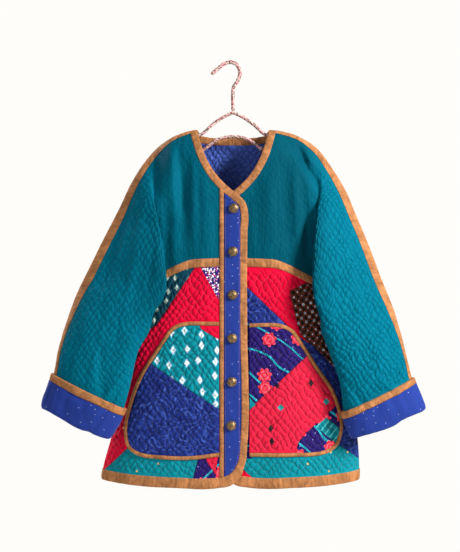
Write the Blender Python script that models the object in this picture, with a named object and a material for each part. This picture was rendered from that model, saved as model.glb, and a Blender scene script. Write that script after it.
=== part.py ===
"""Quilted patchwork jacket with sleeves cut in one with its yoke, hung on a cloth-wrapped wire hanger.

Metres, +Z up. The origin is the place under the hook where a peg carries it. The front faces -Y and
the wearer's right is at -X. "out" is the distance from the middle of the jacket towards the side that
a piece belongs to. All cloth is made from one form, a body and two sleeves worked out from sections,
and each piece is a closed wall of it. Pieces that meet at a seam share the seam's points.
"""

import math

import bmesh
import bpy
import numpy as np
from mathutils import Vector
from mathutils.bvhtree import BVHTree

COLLECTION = "quilted_jacket"
RIGHT = -1
LEFT = 1
FRONT = -1
BACK = 1
SIDES = {RIGHT: "right", LEFT: "left"}

# Cloth and trim
WALL = 0.0026
SEAM_GAP = 0.0004
QUILT_RISE = 0.0013
WALL_SHARE = 0.40
PUFF_SHARE = 0.25
RAY_START = 0.0004
RAY_REACH = 0.012
EDGE_BINDING_WIDTH = 0.013
HEM_BINDING_WIDTH = 0.019
BINDING_PROUD = 0.0008
BAND_LIFT = 0.0006
BAND_THICKNESS = 0.0012
SHOULDER_BAND_HALF = 0.0125
YOKE_BAND_HALF = 0.0085
LAP_DROP = 0.0072
LAP_OUT = 0.031
LAP_EASE = 0.075
LAP_TOP = -0.145
LAP_RISE = 0.10
CROWN_AT = 0.45
NEAR_PROUD = 0.4
FAR_DRAWN_IN = 1.2
BAND_END_GAP = 0.0015
PIPING_PROUD = 0.0012
PIPING_OUTER = 0.75
PLACKET_OUT = 0.0095
THINNEST = 0.35
CLOTH_ROUGHNESS = 0.85
BRASS_ROUGHNESS = 0.4
LINING_THICKNESS = 0.0015
LINING_GAP = 0.0011
LINING_ROWS = 8
LINING_DRAWN_IN = 0.004

# The body: half widths at the side seams and how far the front and back stand off the seams' plane
BODY_COLUMNS = ("z", "right", "left", "front", "back")
BODY = (
    (-0.150, 0.190, 0.190, 0.046, 0.030),
    (-0.300, 0.212, 0.212, 0.058, 0.037),
    (-0.470, 0.206, 0.206, 0.064, 0.041),
    (-0.600, 0.221, 0.226, 0.068, 0.044),
    (-0.712, 0.234, 0.246, 0.071, 0.046),
    (-0.767, 0.250, 0.254, 0.072, 0.047),
    (-0.827, 0.2655, 0.257, 0.072, 0.048),
    (-0.870, 0.2690, 0.257, 0.072, 0.048),
)
BODY_SQUARENESS = 2.4
SHOULDER_ROUND = 0.080

# The line over the shoulder, then down the top of the sleeve
SHOULDER_COLUMNS = ("out", "z")
SHOULDER = {
    RIGHT: ((0.0, -0.120), (0.079, -0.134), (0.127, -0.1525), (0.1625, -0.1805), (0.193, -0.223), (0.232, -0.300)),
    LEFT: ((0.0, -0.120), (0.081, -0.134), (0.132, -0.148), (0.1755, -0.178), (0.213, -0.233), (0.251, -0.315)),
}
SHOULDER_POINT = {RIGHT: 0.1625, LEFT: 0.1755}
NECK_POINT = 0.086

# Seam between the yoke and the lower pieces, up to the underarm
YOKE_COLUMNS = ("out", "z")
YOKE = (
    (-0.020, -0.404),
    (0.060, -0.4045),
    (0.085, -0.4065),
    (0.114, -0.417),
    (0.140, -0.430),
    (0.165, -0.443),
    (0.190, -0.459),
    (0.206, -0.470),
)
UNDERARM_OUT = 0.206
UNDERARM = (0.206, 0.0, 0.470)
UNDERARM_THINNED = 0.030
UNDERARM_DRAWN_IN = 0.0010

# Edge of the front pieces inside their binding: neck, then straight down the front
FRONT_EDGE_COLUMNS = ("out", "z")
FRONT_EDGE = (
    (0.086, -0.1355),
    (0.0826, -0.1485),
    (0.068, -0.194),
    (0.045, -0.234),
    (0.022, -0.2594),
    (0.0, -0.2775),
    (-0.012, -0.289),
    (-0.0165, -0.306),
    (-0.0152, -0.340),
    (-0.0145, -0.404),
)
FRONT_LOWER_EDGE = ((-0.0145, -0.404), (-0.0145, -0.500), (-0.0145, -0.770), (-0.0122, -0.794), (-0.0045, -0.8130))
FRONT_HEM = (
    (-0.0045, -0.8130),
    (0.0035, -0.8215),
    (0.0125, -0.8270),
    (0.028, -0.8300),
    (0.120, -0.8310),
    (0.200, -0.8280),
    (0.269, -0.8220),
)
BACK_NECK = ((0.0, -0.160), (0.030, -0.1600), (0.056, -0.1575), (0.076, -0.150), (0.086, -0.1355))
BACK_HEM = ((0.0, -0.8310), (0.120, -0.8310), (0.200, -0.8280), (0.269, -0.8220))

# Sleeve sections, from the armhole to the folded end of the sleeve. The front cloth hangs over in a
# fold that stands in from the section's middle line at the share of its length given.
SLEEVE_COLUMNS = (
    "top_out", "top_z", "top_y",
    "under_out", "under_z", "under_y",
    "fold_share", "fold_out", "fold_y",
    "rear_share", "rear_out", "rear_y",
)
SLEEVE = {
    RIGHT: (
        (0.1625, -0.1805, 0.000, 0.206, -0.470, 0.000, 0.45, 0.170, -0.043, 0.45, 0.178, 0.030),
        (0.193, -0.223, -0.003, 0.213, -0.480, -0.013, 0.34, 0.150, -0.049, 0.45, 0.204, 0.036),
        (0.232, -0.300, -0.008, 0.215, -0.490, -0.026, 0.33, 0.1395, -0.070, 0.50, 0.228, 0.033),
        (0.261, -0.358, -0.012, 0.208, -0.503, -0.040, 0.42, 0.136, -0.089, 0.50, 0.250, 0.024),
        (0.289, -0.417, -0.016, 0.196, -0.515, -0.055, 0.48, 0.139, -0.097, 0.50, 0.262, 0.010),
        (0.312, -0.466, -0.020, 0.168, -0.531, -0.066, 0.60, 0.186, -0.090, 0.50, 0.262, -0.006),
        (0.336, -0.530, -0.025, 0.190, -0.583, -0.066, 0.50, 0.250, -0.084, 0.50, 0.270, -0.016),
        (0.350, -0.580, -0.029, 0.202, -0.640, -0.066, 0.50, 0.274, -0.082, 0.50, 0.280, -0.021),
        (0.358, -0.625, -0.033, 0.216, -0.690, -0.064, 0.50, 0.286, -0.080, 0.50, 0.290, -0.023),
        (0.381, -0.692, -0.038, 0.246, -0.751, -0.060, 0.50, 0.313, -0.076, 0.50, 0.315, -0.023),
    ),
    LEFT: (
        (0.1755, -0.178, 0.000, 0.206, -0.470, 0.000, 0.40, 0.182, -0.042, 0.45, 0.184, 0.030),
        (0.213, -0.233, -0.004, 0.213, -0.480, -0.013, 0.22, 0.166, -0.054, 0.45, 0.214, 0.036),
        (0.251, -0.315, -0.009, 0.215, -0.490, -0.026, 0.25, 0.163, -0.074, 0.50, 0.238, 0.033),
        (0.274, -0.372, -0.013, 0.209, -0.503, -0.040, 0.38, 0.162, -0.090, 0.50, 0.256, 0.024),
        (0.297, -0.435, -0.017, 0.200, -0.514, -0.054, 0.48, 0.165, -0.094, 0.50, 0.264, 0.010),
        (0.320, -0.494, -0.022, 0.179, -0.533, -0.066, 0.60, 0.198, -0.090, 0.50, 0.266, -0.006),
        (0.338, -0.553, -0.026, 0.193, -0.586, -0.066, 0.50, 0.254, -0.084, 0.50, 0.272, -0.016),
        (0.350, -0.605, -0.030, 0.212, -0.645, -0.066, 0.50, 0.280, -0.082, 0.50, 0.284, -0.021),
        (0.357, -0.634, -0.033, 0.219, -0.697, -0.064, 0.50, 0.288, -0.080, 0.50, 0.290, -0.023),
        (0.382, -0.694, -0.038, 0.238, -0.751, -0.060, 0.50, 0.311, -0.076, 0.50, 0.312, -0.023),
    ),
}
SLEEVE_ROUNDNESS = {FRONT: (1.70, 1.15, 0.92), BACK: (1.70, 1.20, 1.05)}
# The same for the front's lower half, where the sleeve hangs flatter beside the body
UNDER_ROUNDNESS = {
    RIGHT: (1.70, 1.15, 0.92, 0.98, 1.50, 1.30, 0.92),
    LEFT: (1.70, 1.15, 0.96, 1.20, 1.50, 1.30, 0.92),
}
CUFF_SECTIONS = 2
BODY_CLEAR = 0.010
PRESSED = {FRONT: (0.0, 0.8, 1.0), BACK: (0.0, 0.0, 0.0, 0.67, 1.0)}

# Large soft folds: a ridge or a trough from one place to another, its half width and its height
FOLD_COLUMNS = ("side", "face", "top_out", "top_z", "low_out", "low_z", "width", "height")
FOLD_START = 0.08
FOLD_END_SHARE = 0.35
FOLDS_FULL_AT = 2
FOLDS = (
    (RIGHT, FRONT, 0.096, -0.205, 0.098, -0.385, 0.016, -0.0075),
    (RIGHT, FRONT, 0.130, -0.190, 0.128, -0.300, 0.016, 0.0060),
    (RIGHT, FRONT, 0.060, -0.270, 0.052, -0.520, 0.020, 0.0035),
    (RIGHT, FRONT, 0.215, -0.285, 0.262, -0.440, 0.013, -0.0055),
    (RIGHT, FRONT, 0.180, -0.330, 0.225, -0.520, 0.014, 0.0040),
    (RIGHT, FRONT, 0.228, -0.560, 0.262, -0.680, 0.014, -0.0035),
    (LEFT, FRONT, 0.115, -0.165, 0.150, -0.215, 0.014, -0.0110),
    (LEFT, FRONT, 0.100, -0.215, 0.112, -0.390, 0.015, -0.0055),
    (LEFT, FRONT, 0.070, -0.240, 0.072, -0.400, 0.018, 0.0035),
    (LEFT, FRONT, 0.215, -0.330, 0.255, -0.520, 0.016, 0.0040),
    (LEFT, FRONT, 0.250, -0.430, 0.285, -0.560, 0.012, -0.0040),
    (RIGHT, BACK, 0.105, -0.190, 0.085, -0.560, 0.022, -0.0070),
    (RIGHT, BACK, 0.150, -0.220, 0.140, -0.440, 0.018, 0.0055),
    (RIGHT, BACK, 0.030, -0.330, 0.045, -0.800, 0.026, 0.0045),
    (RIGHT, BACK, 0.165, -0.560, 0.185, -0.815, 0.022, -0.0050),
    (LEFT, BACK, 0.110, -0.185, 0.095, -0.600, 0.022, -0.0065),
    (LEFT, BACK, 0.150, -0.230, 0.150, -0.430, 0.018, 0.0055),
    (LEFT, BACK, 0.040, -0.480, 0.030, -0.810, 0.026, -0.0045),
    (LEFT, BACK, 0.175, -0.540, 0.170, -0.815, 0.024, 0.0045),
)

# How finely each form is cut into points
DENSE = 97
PANEL_ROWS = 12
LOWER_ROWS = 12
SIDE_CELLS = 10
BACK_NECK_OUTS = (0.0, 0.034, 0.060, 0.0775)
NECK_CELLS = len(BACK_NECK_OUTS)
SLEEVE_CELLS = 14
CUFF_CELLS = 3
PLACKET_OUTS = (-0.0145, 0.007, 0.028)
TURN_WEIGHT = 0.012
SETTLE_ROWS = 4
SETTLE_REACH = 3
SETTLE_FROM = 0.45
EVEN_SHARE = 0.25
BACK_NECK_SHARE = 0.33
PLAIN_TOLERANCE = 0.0008
SLOPE_STEP = 0.0005

# Placket strip: its edge towards the front edge follows the binding, one millimetre inside it
STRIP_COLUMNS = ("z", "out")
STRIP_EDGE = (
    (-0.2660, 0.0160),
    (-0.2770, 0.0030),
    (-0.2885, -0.0095),
    (-0.3040, -0.0135),
    (-0.3400, -0.0135),
    (-0.7700, -0.0135),
    (-0.7930, -0.0112),
    (-0.8110, -0.0030),
    (-0.8195, 0.0050),
    (-0.8255, 0.0160),
)
STRIP_OUT = 0.0175
STRIP_ROWS = 20
STRIP_THICKNESS = 0.0014
PIPING_OUT = (0.0181, 0.0268)
PIPING_TOP = -0.2600
PIPING_FOOT = -0.8270
PIPING_THICKNESS = 0.0022

# Pocket outlines, outer edge of the piping, from the upper inner corner round to the lower inner one
POCKET_COLUMNS = ("out", "z")
POCKET_TOP = {
    RIGHT: ((0.0275, -0.521), (0.065, -0.5205), (0.093, -0.5215), (0.1175, -0.5293), (0.128, -0.5385)),
    LEFT: ((0.0325, -0.5245), (0.065, -0.5235), (0.091, -0.5245), (0.112, -0.532), (0.1235, -0.5415)),
}
POCKET_SIDE = {
    RIGHT: ((0.128, -0.5385), (0.1545, -0.5785), (0.1835, -0.6235), (0.1968, -0.6536), (0.2106, -0.697),
            (0.218, -0.740), (0.2125, -0.7700)),
    LEFT: ((0.1235, -0.5415), (0.145, -0.573), (0.172, -0.616), (0.1985, -0.654), (0.213, -0.692),
           (0.2195, -0.735), (0.2105, -0.7655)),
}
POCKET_FOOT = {
    RIGHT: ((0.0275, -0.7865), (0.084, -0.7937), (0.137, -0.7933), (0.185, -0.7885), (0.203, -0.7805),
            (0.2125, -0.7700)),
    LEFT: ((0.0325, -0.7877), (0.084, -0.7880), (0.129, -0.7879), (0.180, -0.7845), (0.200, -0.7765),
           (0.2105, -0.7655)),
}
POCKET_PIPING_WIDTH = 0.008
POCKET_LIFT = 0.0009
POCKET_CELLS = 9
POCKET_ROWS = 10
POCKET_CLEAR = 0.030

# Buttons down the placket
BUTTON_COUNT = 6
BUTTON_FIRST = (0.001, -0.2957)
BUTTON_PITCH = 0.0859
BUTTON_DRIFT = -0.0009
BUTTON_RADIUS = 0.0095
BUTTON_STEPS = 12
BUTTON_PROFILE = (
    (0.0, 0.0078), (0.0042, 0.0071), (0.0076, 0.0050), (0.0095, 0.0022),
    (0.0086, 0.0015), (0.0034, 0.0015), (0.0032, 0.0), (0.0, 0.0),
)
SEAT_GAP = 0.0003
BUTTON_SEAT = 0.004

# Turned-back cuff, across its wall: share of the cuff's depth up from the fold, then distance off the sleeve
CUFF_WALL = (
    (0.765, 0.0012), (-0.014, 0.0012), (-0.014, -0.0036), (0.09, -0.0036), (0.09, -0.0062),
    (-0.030, -0.0062), (-0.062, -0.0020), (-0.040, 0.0030), (0.35, 0.0050), (0.765, 0.0050),
)
CUFF_BINDING_WALL = ((0.772, 0.0010), (0.772, 0.0060), (0.985, 0.0066), (0.985, 0.0010))

# Hanger
ROD_RADIUS = 0.0034
HOOK_RADIUS = 0.0040
ARM_END = 0.148
ARM_APEX_Z = -0.0990
ARM_BEND_OUT = 0.068
ARM_POINTS = 13
ARM_RISE = ((0.012, -0.1035), (0.040, -0.1210))
ARM_CLEAR = WALL + 0.0031
NECK_DROP = 0.0032
NECK_EASE = 0.025
ARM_Y = -0.0022
HOOK_PATH = (
    (-0.0445, -0.0205), (-0.030, -0.0085), (-0.016, 0.0020), (-0.004, 0.0043), (0.006, 0.0005),
    (0.0125, -0.0095), (0.0135, -0.022), (0.009, -0.0345), (0.002, -0.0450), (-0.0005, -0.060),
)
HOOK_BEND = (0.0, -0.080)
HOOK_FOOT_GAP = 0.0004
BAR_BELOW_ARM = 0.0060
BAR_INSIDE_ARM = 0.003
BAR_PATH = (
    (0.0, -0.1470), (0.026, -0.1510), (0.059, -0.1730), (0.090, -0.1960), (0.120, -0.2150), (0.142, -0.2220),
    (0.1500, -0.2130),
)
SWEEP_POINTS = 21
HOOK_POINTS = 12

COLOURS = {
    "teal": (0.0, 0.17, 0.21), "blue": (0.03, 0.045, 0.35), "lining": (0.02, 0.025, 0.16),
    "patch_red": (0.60, 0.012, 0.06), "patch_blue": (0.03, 0.05, 0.28), "tan": (0.45, 0.22, 0.075),
    "brass": (0.33, 0.20, 0.08), "calico": (0.62, 0.36, 0.36),
}


def table(rows):
    """The columns of a table, as arrays."""
    return [np.array(column) for column in zip(*rows)]


def smooth(knots, values, at):
    """Values between the knots, on a curve without corners."""
    knots = np.asarray(knots, float)
    values = np.asarray(values, float)
    at = np.clip(np.asarray(at, float), knots[0], knots[-1])
    slopes = np.gradient(values, knots, axis=0)
    index = np.clip(np.searchsorted(knots, at, side="right") - 1, 0, len(knots) - 2)
    width = knots[index + 1] - knots[index]
    share = (at - knots[index]) / width
    if values.ndim > 1:
        extra = (...,) + (None,) * (values.ndim - 1)
        share = share[extra]
        width = width[extra]
    return (
        (1 + 2 * share) * (1 - share) ** 2 * values[index]
        + share * (1 - share) ** 2 * width * slopes[index]
        + share**2 * (3 - 2 * share) * values[index + 1]
        + share**2 * (share - 1) * width * slopes[index + 1]
    )


def ease(share):
    """A soft step from 0 to 1."""
    share = np.clip(share, 0, 1)
    return share * share * (3 - 2 * share)


def unit(vectors):
    return vectors / np.maximum(np.linalg.norm(vectors, axis=-1, keepdims=True), 1e-12)


def along(points, count):
    """Points at even distances on a smooth line through the given ones."""
    points = np.asarray(points, float)
    steps = np.concatenate([[0], np.cumsum(np.linalg.norm(np.diff(points, axis=0), axis=1))])
    fine = smooth(steps, points, np.linspace(0, steps[-1], 20 * len(points)))
    reach = np.concatenate([[0], np.cumsum(np.linalg.norm(np.diff(fine, axis=0), axis=1))])
    places = np.linspace(0, reach[-1], count)
    return np.stack([np.interp(places, reach, fine[:, k]) for k in range(points.shape[1])], axis=1)


def half_width(side, z):
    heights, right, left, _, _ = table(BODY)
    return smooth(-heights, right if side == RIGHT else left, -np.asarray(z))


def depth(face, z):
    heights, _, _, front, back = table(BODY)
    return smooth(-heights, front if face == FRONT else back, -np.asarray(z))


def shoulder_z(side, out):
    outs, heights = table(SHOULDER[side])
    return smooth(outs, heights, np.clip(out, 0, outs[-1]))


def folds(side, face, out, z):
    """How far the large folds lift the cloth at a place."""
    total = np.zeros(np.broadcast(out, z).shape)
    for row_side, row_face, top_out, top_z, low_out, low_z, width, height in FOLDS:
        if (row_side, row_face) != (side, face):
            continue
        run = np.array([low_out - top_out, low_z - top_z])
        share = ((out - top_out) * run[0] + (z - top_z) * run[1]) / (run @ run)
        held = np.clip(share, 0, 1)
        away = np.hypot(out - top_out - held * run[0], z - top_z - held * run[1])
        swell = np.sin(math.pi * (FOLD_START + (1 - 2 * FOLD_START) * held))
        fade = FOLD_END_SHARE + (1 - FOLD_END_SHARE) * swell
        total = total + height * fade * np.exp(-((away / width) ** 2))
    return total


def body_y(side, face, out, z):
    """Where the body's front or back cloth lies at a place."""
    round_share = np.clip(np.abs(out) / half_width(side, z), 0, 1)
    across = np.sqrt(np.maximum(1 - round_share**BODY_SQUARENESS, 0))
    fall = np.clip((shoulder_z(side, np.abs(out)) - z) / SHOULDER_ROUND, 0, 1)
    top = np.sqrt(1 - (1 - fall) ** 2)
    stand = depth(face, z) * across * top + folds(side, face, out, z) * across * top
    y = face * stand
    if face == FRONT and side == LEFT:
        y = y + LAP_DROP * (1 - ease((out - LAP_OUT) / LAP_EASE)) * ease((LAP_TOP - z) / LAP_RISE)
    return y


def sleeve_section(side, number, face, turn):
    """A half section of the sleeve, from its top seam to its under seam, as out, y and z."""
    row = SLEEVE[side][number]
    top_out, top_z, top_y, under_out, under_z, under_y = row[:6]
    share, ridge_out, ridge_y = row[6:9] if face == FRONT else row[9:12]
    top = np.array([top_out, top_y, top_z])
    under = np.array([under_out, under_y, under_z])
    middle = top + share * (under - top)
    ridge = np.array([ridge_out, ridge_y, middle[2]])
    power = SLEEVE_ROUNDNESS[face][min(number, len(SLEEVE_ROUNDNESS[face]) - 1)]
    if face == FRONT:
        under_power = UNDER_ROUNDNESS[side][min(number, len(UNDER_ROUNDNESS[side]) - 1)]
        power = np.where(turn < math.pi / 2, power, under_power)[:, None]
    rise = np.abs(np.cos(turn))[:, None] ** power
    stand = np.abs(np.sin(turn))[:, None] ** power
    end = np.where((turn < math.pi / 2)[:, None], top, under)
    return middle + (end - middle) * rise + (ridge - middle) * stand


def armhole(side, face):
    turn = np.linspace(0, math.pi, DENSE)
    return sleeve_section(side, 0, face, turn)


def patch(top, foot, inner, outer, shares):
    """Columns between two side lines, from a top line to a foot line, all in out and z."""
    drop = np.linspace(0, 1, DENSE)[None, :, None]
    share = np.asarray(shares)[:, None, None]
    flat_inner = (1 - drop) * inner[0] + drop * inner[-1]
    flat_outer = (1 - drop) * outer[0] + drop * outer[-1]
    straight = (1 - drop) * top[:, None, :] + drop * foot[:, None, :]
    return straight + (1 - share) * (inner[None] - flat_inner) + share * (outer[None] - flat_outer)


def side_outs(start, end, cells):
    """Places from one to the other that close up towards the side seam, where the cloth turns."""
    share = np.linspace(0, 1, cells + 1)
    return start + (end - start) * (EVEN_SHARE * share + (1 - EVEN_SHARE) * np.sin(share * math.pi / 2))


def front_outs(end):
    return np.concatenate([PLACKET_OUTS[:-1], side_outs(PLACKET_OUTS[-1], end, SIDE_CELLS)])


def back_outs(end):
    first = end * BACK_NECK_SHARE
    return np.concatenate([
        np.linspace(0, first, NECK_CELLS + 1)[:-1],
        side_outs(first, end, SIDE_CELLS + 2),
    ])


def shoulder_outs(side):
    """The columns' places on the shoulder line, the same for front and back."""
    return np.linspace(NECK_POINT, SHOULDER_POINT[side], SIDE_CELLS + 3)


def with_y(side, face, flat, y):
    """Points from out and z, with the front and back at their y."""
    return np.stack([side * flat[..., 0], y, flat[..., 1]], axis=-1)


def on_line(rows, outs):
    line_outs, heights = table(rows)
    return np.stack([outs, smooth(line_outs, heights, outs)], axis=1)


def torso(side, face):
    """The yoke of one side, from its middle to the armhole, before it is cut into rows."""
    hole = armhole(side, face)
    outer = hole[:, [0, 2]]
    shoulder = shoulder_outs(side)
    shoulder_line = np.stack([shoulder, shoulder_z(side, shoulder)], axis=1)
    if face == FRONT:
        inner = along(FRONT_EDGE, DENSE)
        top = shoulder_line
        foot = on_line(YOKE, front_outs(UNDERARM_OUT))
    else:
        neck = on_line(BACK_NECK, np.array(BACK_NECK_OUTS))
        top = np.concatenate([neck, shoulder_line])
        foot = on_line(YOKE, back_outs(UNDERARM_OUT))
        inner = np.linspace(top[0], foot[0], DENSE)
    inner[0] = top[0]
    inner[-1] = foot[0]
    shares = np.linspace(0, 1, len(top))
    flat = patch(top, foot, inner, outer, shares)
    y = body_y(side, face, flat[..., 0], flat[..., 1])
    missing = hole[:, 1] - body_y(side, face, hole[:, 0], hole[:, 2])
    y = y + missing[None] * ease((shares - SETTLE_FROM) / (1 - SETTLE_FROM))[:, None]
    return with_y(side, face, flat, y)


def clear_of_body(side, points, strength):
    """Keeps the hanging sleeve a little in front of the body that it covers."""
    out = side * points[..., 0]
    z = points[..., 2]
    beyond = np.clip(out - half_width(side, z) - BODY_CLEAR / 3, 0, 1)
    most = body_y(side, FRONT, np.minimum(out, half_width(side, z)), z) - BODY_CLEAR + 6 * beyond
    pressed = np.minimum(points[..., 1], most)
    moved = points.copy()
    moved[..., 1] += strength * (pressed - points[..., 1])
    return moved


def sleeve(side, face, ghost):
    """The sleeve's front or back, from the armhole to its folded end, before it is cut into rows."""
    turn = np.linspace(0, math.pi, DENSE)
    rings = []
    for number in range(len(SLEEVE[side])):
        ring = sleeve_section(side, number, face, turn)
        ring = np.stack([side * ring[:, 0], ring[:, 1], ring[:, 2]], axis=1)
        if number:
            lift = folds(side, face, side * ring[:, 0], ring[:, 2]) * np.sqrt(np.sin(turn))
            ring[:, 1] += face * lift * min(1, number / FOLDS_FULL_AT)
        ring = clear_of_body(side, ring, PRESSED[face][min(number, len(PRESSED[face]) - 1)])
        rings.append(ring)
    rings = np.array([ghost] + rings)
    steps = np.linalg.norm(np.diff(rings, axis=0), axis=2).mean(axis=1)
    reach = np.concatenate([[-steps[0], 0], np.cumsum(steps[1:])])
    cuff_top = reach[len(reach) - CUFF_SECTIONS]
    places = np.concatenate([
        np.linspace(0, cuff_top, SLEEVE_CELLS + 1),
        np.linspace(cuff_top, reach[-1], CUFF_CELLS + 1)[1:],
    ])
    return smooth(reach, rings, places)


def rows_of(column, first, last, count):
    """Cuts a dense column into rows: one at each given distance from its ends and the rest between."""
    steps = np.linalg.norm(np.diff(column, axis=0), axis=1)
    reach = np.concatenate([[0], np.cumsum(steps)])
    ways = unit(np.diff(column, axis=0))
    bends = np.arccos(np.clip((ways[1:] * ways[:-1]).sum(axis=1), -1, 1))
    weight = reach + TURN_WEIGHT * np.concatenate([[0], np.cumsum(bends), [bends.sum()]])
    start, stop = first, reach[-1] - last
    between = np.linspace(np.interp(start, reach, weight), np.interp(stop, reach, weight), count - 1)
    inner = np.interp(between, weight, reach)
    places = np.concatenate([[0], inner, [reach[-1]]]) if first else np.concatenate([inner, [reach[-1]]])
    if not last:
        places = places[:-1]
    return np.stack([np.interp(places, reach, column[:, k]) for k in range(3)], axis=1)


def settle(grid, join, passes):
    """Eases the columns on both sides of the armhole, where the cloth has no seam."""
    rows = np.arange(grid.shape[1])
    strength = np.clip(np.minimum(rows, rows[::-1]) / SETTLE_ROWS, 0, 1)[None, :, None]
    for _ in range(passes):
        first, last = join - SETTLE_REACH, join + SETTLE_REACH + 1
        middle = slice(first, last)
        beside = (grid[first - 1:last - 1] + grid[first + 1:last + 1]) / 2
        eased = (grid[middle] + beside) / 2
        grid[middle] += strength * (eased - grid[middle])
    return grid


def upper(side, face):
    """The yoke and sleeve of one side and face, as columns of rows."""
    yoke = torso(side, face)
    arm = sleeve(side, face, yoke[-3])
    columns = np.concatenate([yoke, arm[1:]])
    cut = [rows_of(column, SHOULDER_BAND_HALF, YOKE_BAND_HALF, PANEL_ROWS + 1) for column in columns]
    return settle(np.array(cut), len(yoke) - 1, 3)


def lower(side, face):
    """The lower front or half of the lower back, as columns of rows."""
    heights = np.linspace(YOKE[-1][1], FRONT_HEM[-1][1], DENSE)
    outer = np.stack([half_width(side, heights), heights], axis=1)
    hem_out = outer[-1, 0]
    if face == FRONT:
        top = on_line(YOKE, front_outs(UNDERARM_OUT))
        hem = on_line(FRONT_HEM, np.concatenate([[FRONT_HEM[0][0], PLACKET_OUT], front_outs(hem_out)[2:]]))
        inner = along(FRONT_LOWER_EDGE, DENSE)
    else:
        top = on_line(YOKE, back_outs(UNDERARM_OUT))
        hem = on_line(BACK_HEM, back_outs(hem_out))
        inner = np.linspace(top[0], hem[0], DENSE)
    hem[-1] = outer[-1]
    inner[0], inner[-1] = top[0], hem[0]
    flat = patch(top, hem, inner, outer, np.linspace(0, 1, len(top)))
    points = with_y(side, face, flat, body_y(side, face, flat[..., 0], flat[..., 1]))
    return np.array([rows_of(column, YOKE_BAND_HALF, 0, LOWER_ROWS + 1) for column in points])


def normals_of(grid, face, probe):
    """Outward directions at a grid's points, by which way its face looks at the probe point."""
    found = unit(np.cross(np.gradient(grid, axis=0), np.gradient(grid, axis=1)))
    return found if found[probe][1] * face > 0 else -found


def share_normals(panels):
    """Gives the points that pieces share at a seam one direction, so that their walls meet."""
    sums = {}
    for points, directions in panels:
        for place, way in zip(np.round(points.reshape(-1, 3), 5), directions.reshape(-1, 3)):
            sums[tuple(place)] = sums.get(tuple(place), 0) + way
    for points, directions in panels:
        flat = directions.reshape(-1, 3)
        for index, place in enumerate(np.round(points.reshape(-1, 3), 5)):
            flat[index] = sums[tuple(place)] / np.linalg.norm(sums[tuple(place)])


def drawn_edge(line, directions, beside, distance):
    """An edge moved into its piece, square to its own line, so that two rims stay apart alike."""
    across = unit(np.cross(directions, np.gradient(line, axis=0)))
    across = across if (across * (beside - line)).sum() > 0 else -across
    return across * distance


def open_seams(grid, directions, gap=SEAM_GAP):
    """Draws a grid's edges in by half the gap between pieces."""
    drawn = grid.copy()
    drawn[0] += drawn_edge(grid[0], directions[0], grid[1], gap / 2)
    drawn[-1] += drawn_edge(grid[-1], directions[-1], grid[-2], gap / 2)
    drawn[:, 0] += drawn_edge(grid[:, 0], directions[:, 0], grid[:, 1], gap / 2)
    drawn[:, -1] += drawn_edge(grid[:, -1], directions[:, -1], grid[:, -2], gap / 2)
    from_underarm = np.linalg.norm(np.abs(grid) - UNDERARM, axis=2)
    for column, row in np.argwhere(from_underarm < SEAM_GAP):
        beside = grid[max(column - 1, 0):column + 2, max(row - 1, 0):row + 2].reshape(-1, 3).mean(axis=0)
        drawn[column, row] = grid[column, row] + unit(beside - grid[column, row]) * UNDERARM_DRAWN_IN
    return drawn


def plain_columns(grids):
    """The columns that plain inner faces need: those that their neighbours don't already give."""
    count = len(grids[0])
    keep = [0]
    index = 0
    while index < count - 1:
        step = 2 if index + 2 < count else 1
        for grid in grids:
            if step == 1:
                break
            start, end = grid[index], grid[index + 2]
            run = end - start
            share = ((grid[index + 1] - start) * run).sum(axis=1) / (run**2).sum(axis=1)
            off = np.linalg.norm(grid[index + 1] - start - share[:, None] * run, axis=1)
            step = 2 if off.max() < PLAIN_TOLERANCE else 1
        index += step
        keep.append(index)
    return keep


def room_for_cloth(grids, ways):
    """The wall and the puff that each point has room for, by how near it other cloth lies."""
    points, faces = [], []
    for grid in grids.values():
        start = len(points)
        columns, rows = grid.shape[:2]
        points += [Vector(place) for place in grid.reshape(-1, 3)]
        for column in range(columns - 1):
            for row in range(rows - 1):
                corner = start + column * rows + row
                faces.append((corner, corner + rows, corner + rows + 1))
                faces.append((corner, corner + rows + 1, corner + 1))
    tree = BVHTree.FromPolygons(points, faces)
    walls, puffs = {}, {}
    for key, grid in grids.items():
        from_underarm = np.linalg.norm(np.abs(grid) - UNDERARM, axis=2)
        walls[key] = WALL * np.clip(from_underarm / UNDERARM_THINNED, THINNEST, 1)
        puffs[key] = np.full(grid.shape[:2], QUILT_RISE)
        for index in np.ndindex(*grid.shape[:2]):
            way = Vector(ways[key][index])
            place = Vector(grid[index])
            for field, turn, share in ((walls[key], -1, WALL_SHARE), (puffs[key], 1, PUFF_SHARE)):
                distance = tree.ray_cast(place + turn * way * RAY_START, turn * way, RAY_REACH)[3]
                if distance is not None:
                    field[index] = min(field[index], share * (distance + RAY_START))
    return walls, puffs


def material(name):
    """A plain finish in one of the garment's colours."""
    found = bpy.data.materials.get(name)
    if found:
        return found
    found = bpy.data.materials.new(name)
    found.use_nodes = True
    shader = found.node_tree.nodes["Principled BSDF"]
    shader.inputs["Base Color"].default_value = (*COLOURS[name], 1)
    shader.inputs["Metallic"].default_value = 1.0 if name == "brass" else 0.0
    shader.inputs["Roughness"].default_value = BRASS_ROUGHNESS if name == "brass" else CLOTH_ROUGHNESS
    return found


def add_object(name, mesh_or_curve, colour):
    made = bpy.data.objects.new(name, mesh_or_curve)
    bpy.data.collections[COLLECTION].objects.link(made)
    mesh_or_curve.materials.append(material(colour))
    return made


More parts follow.
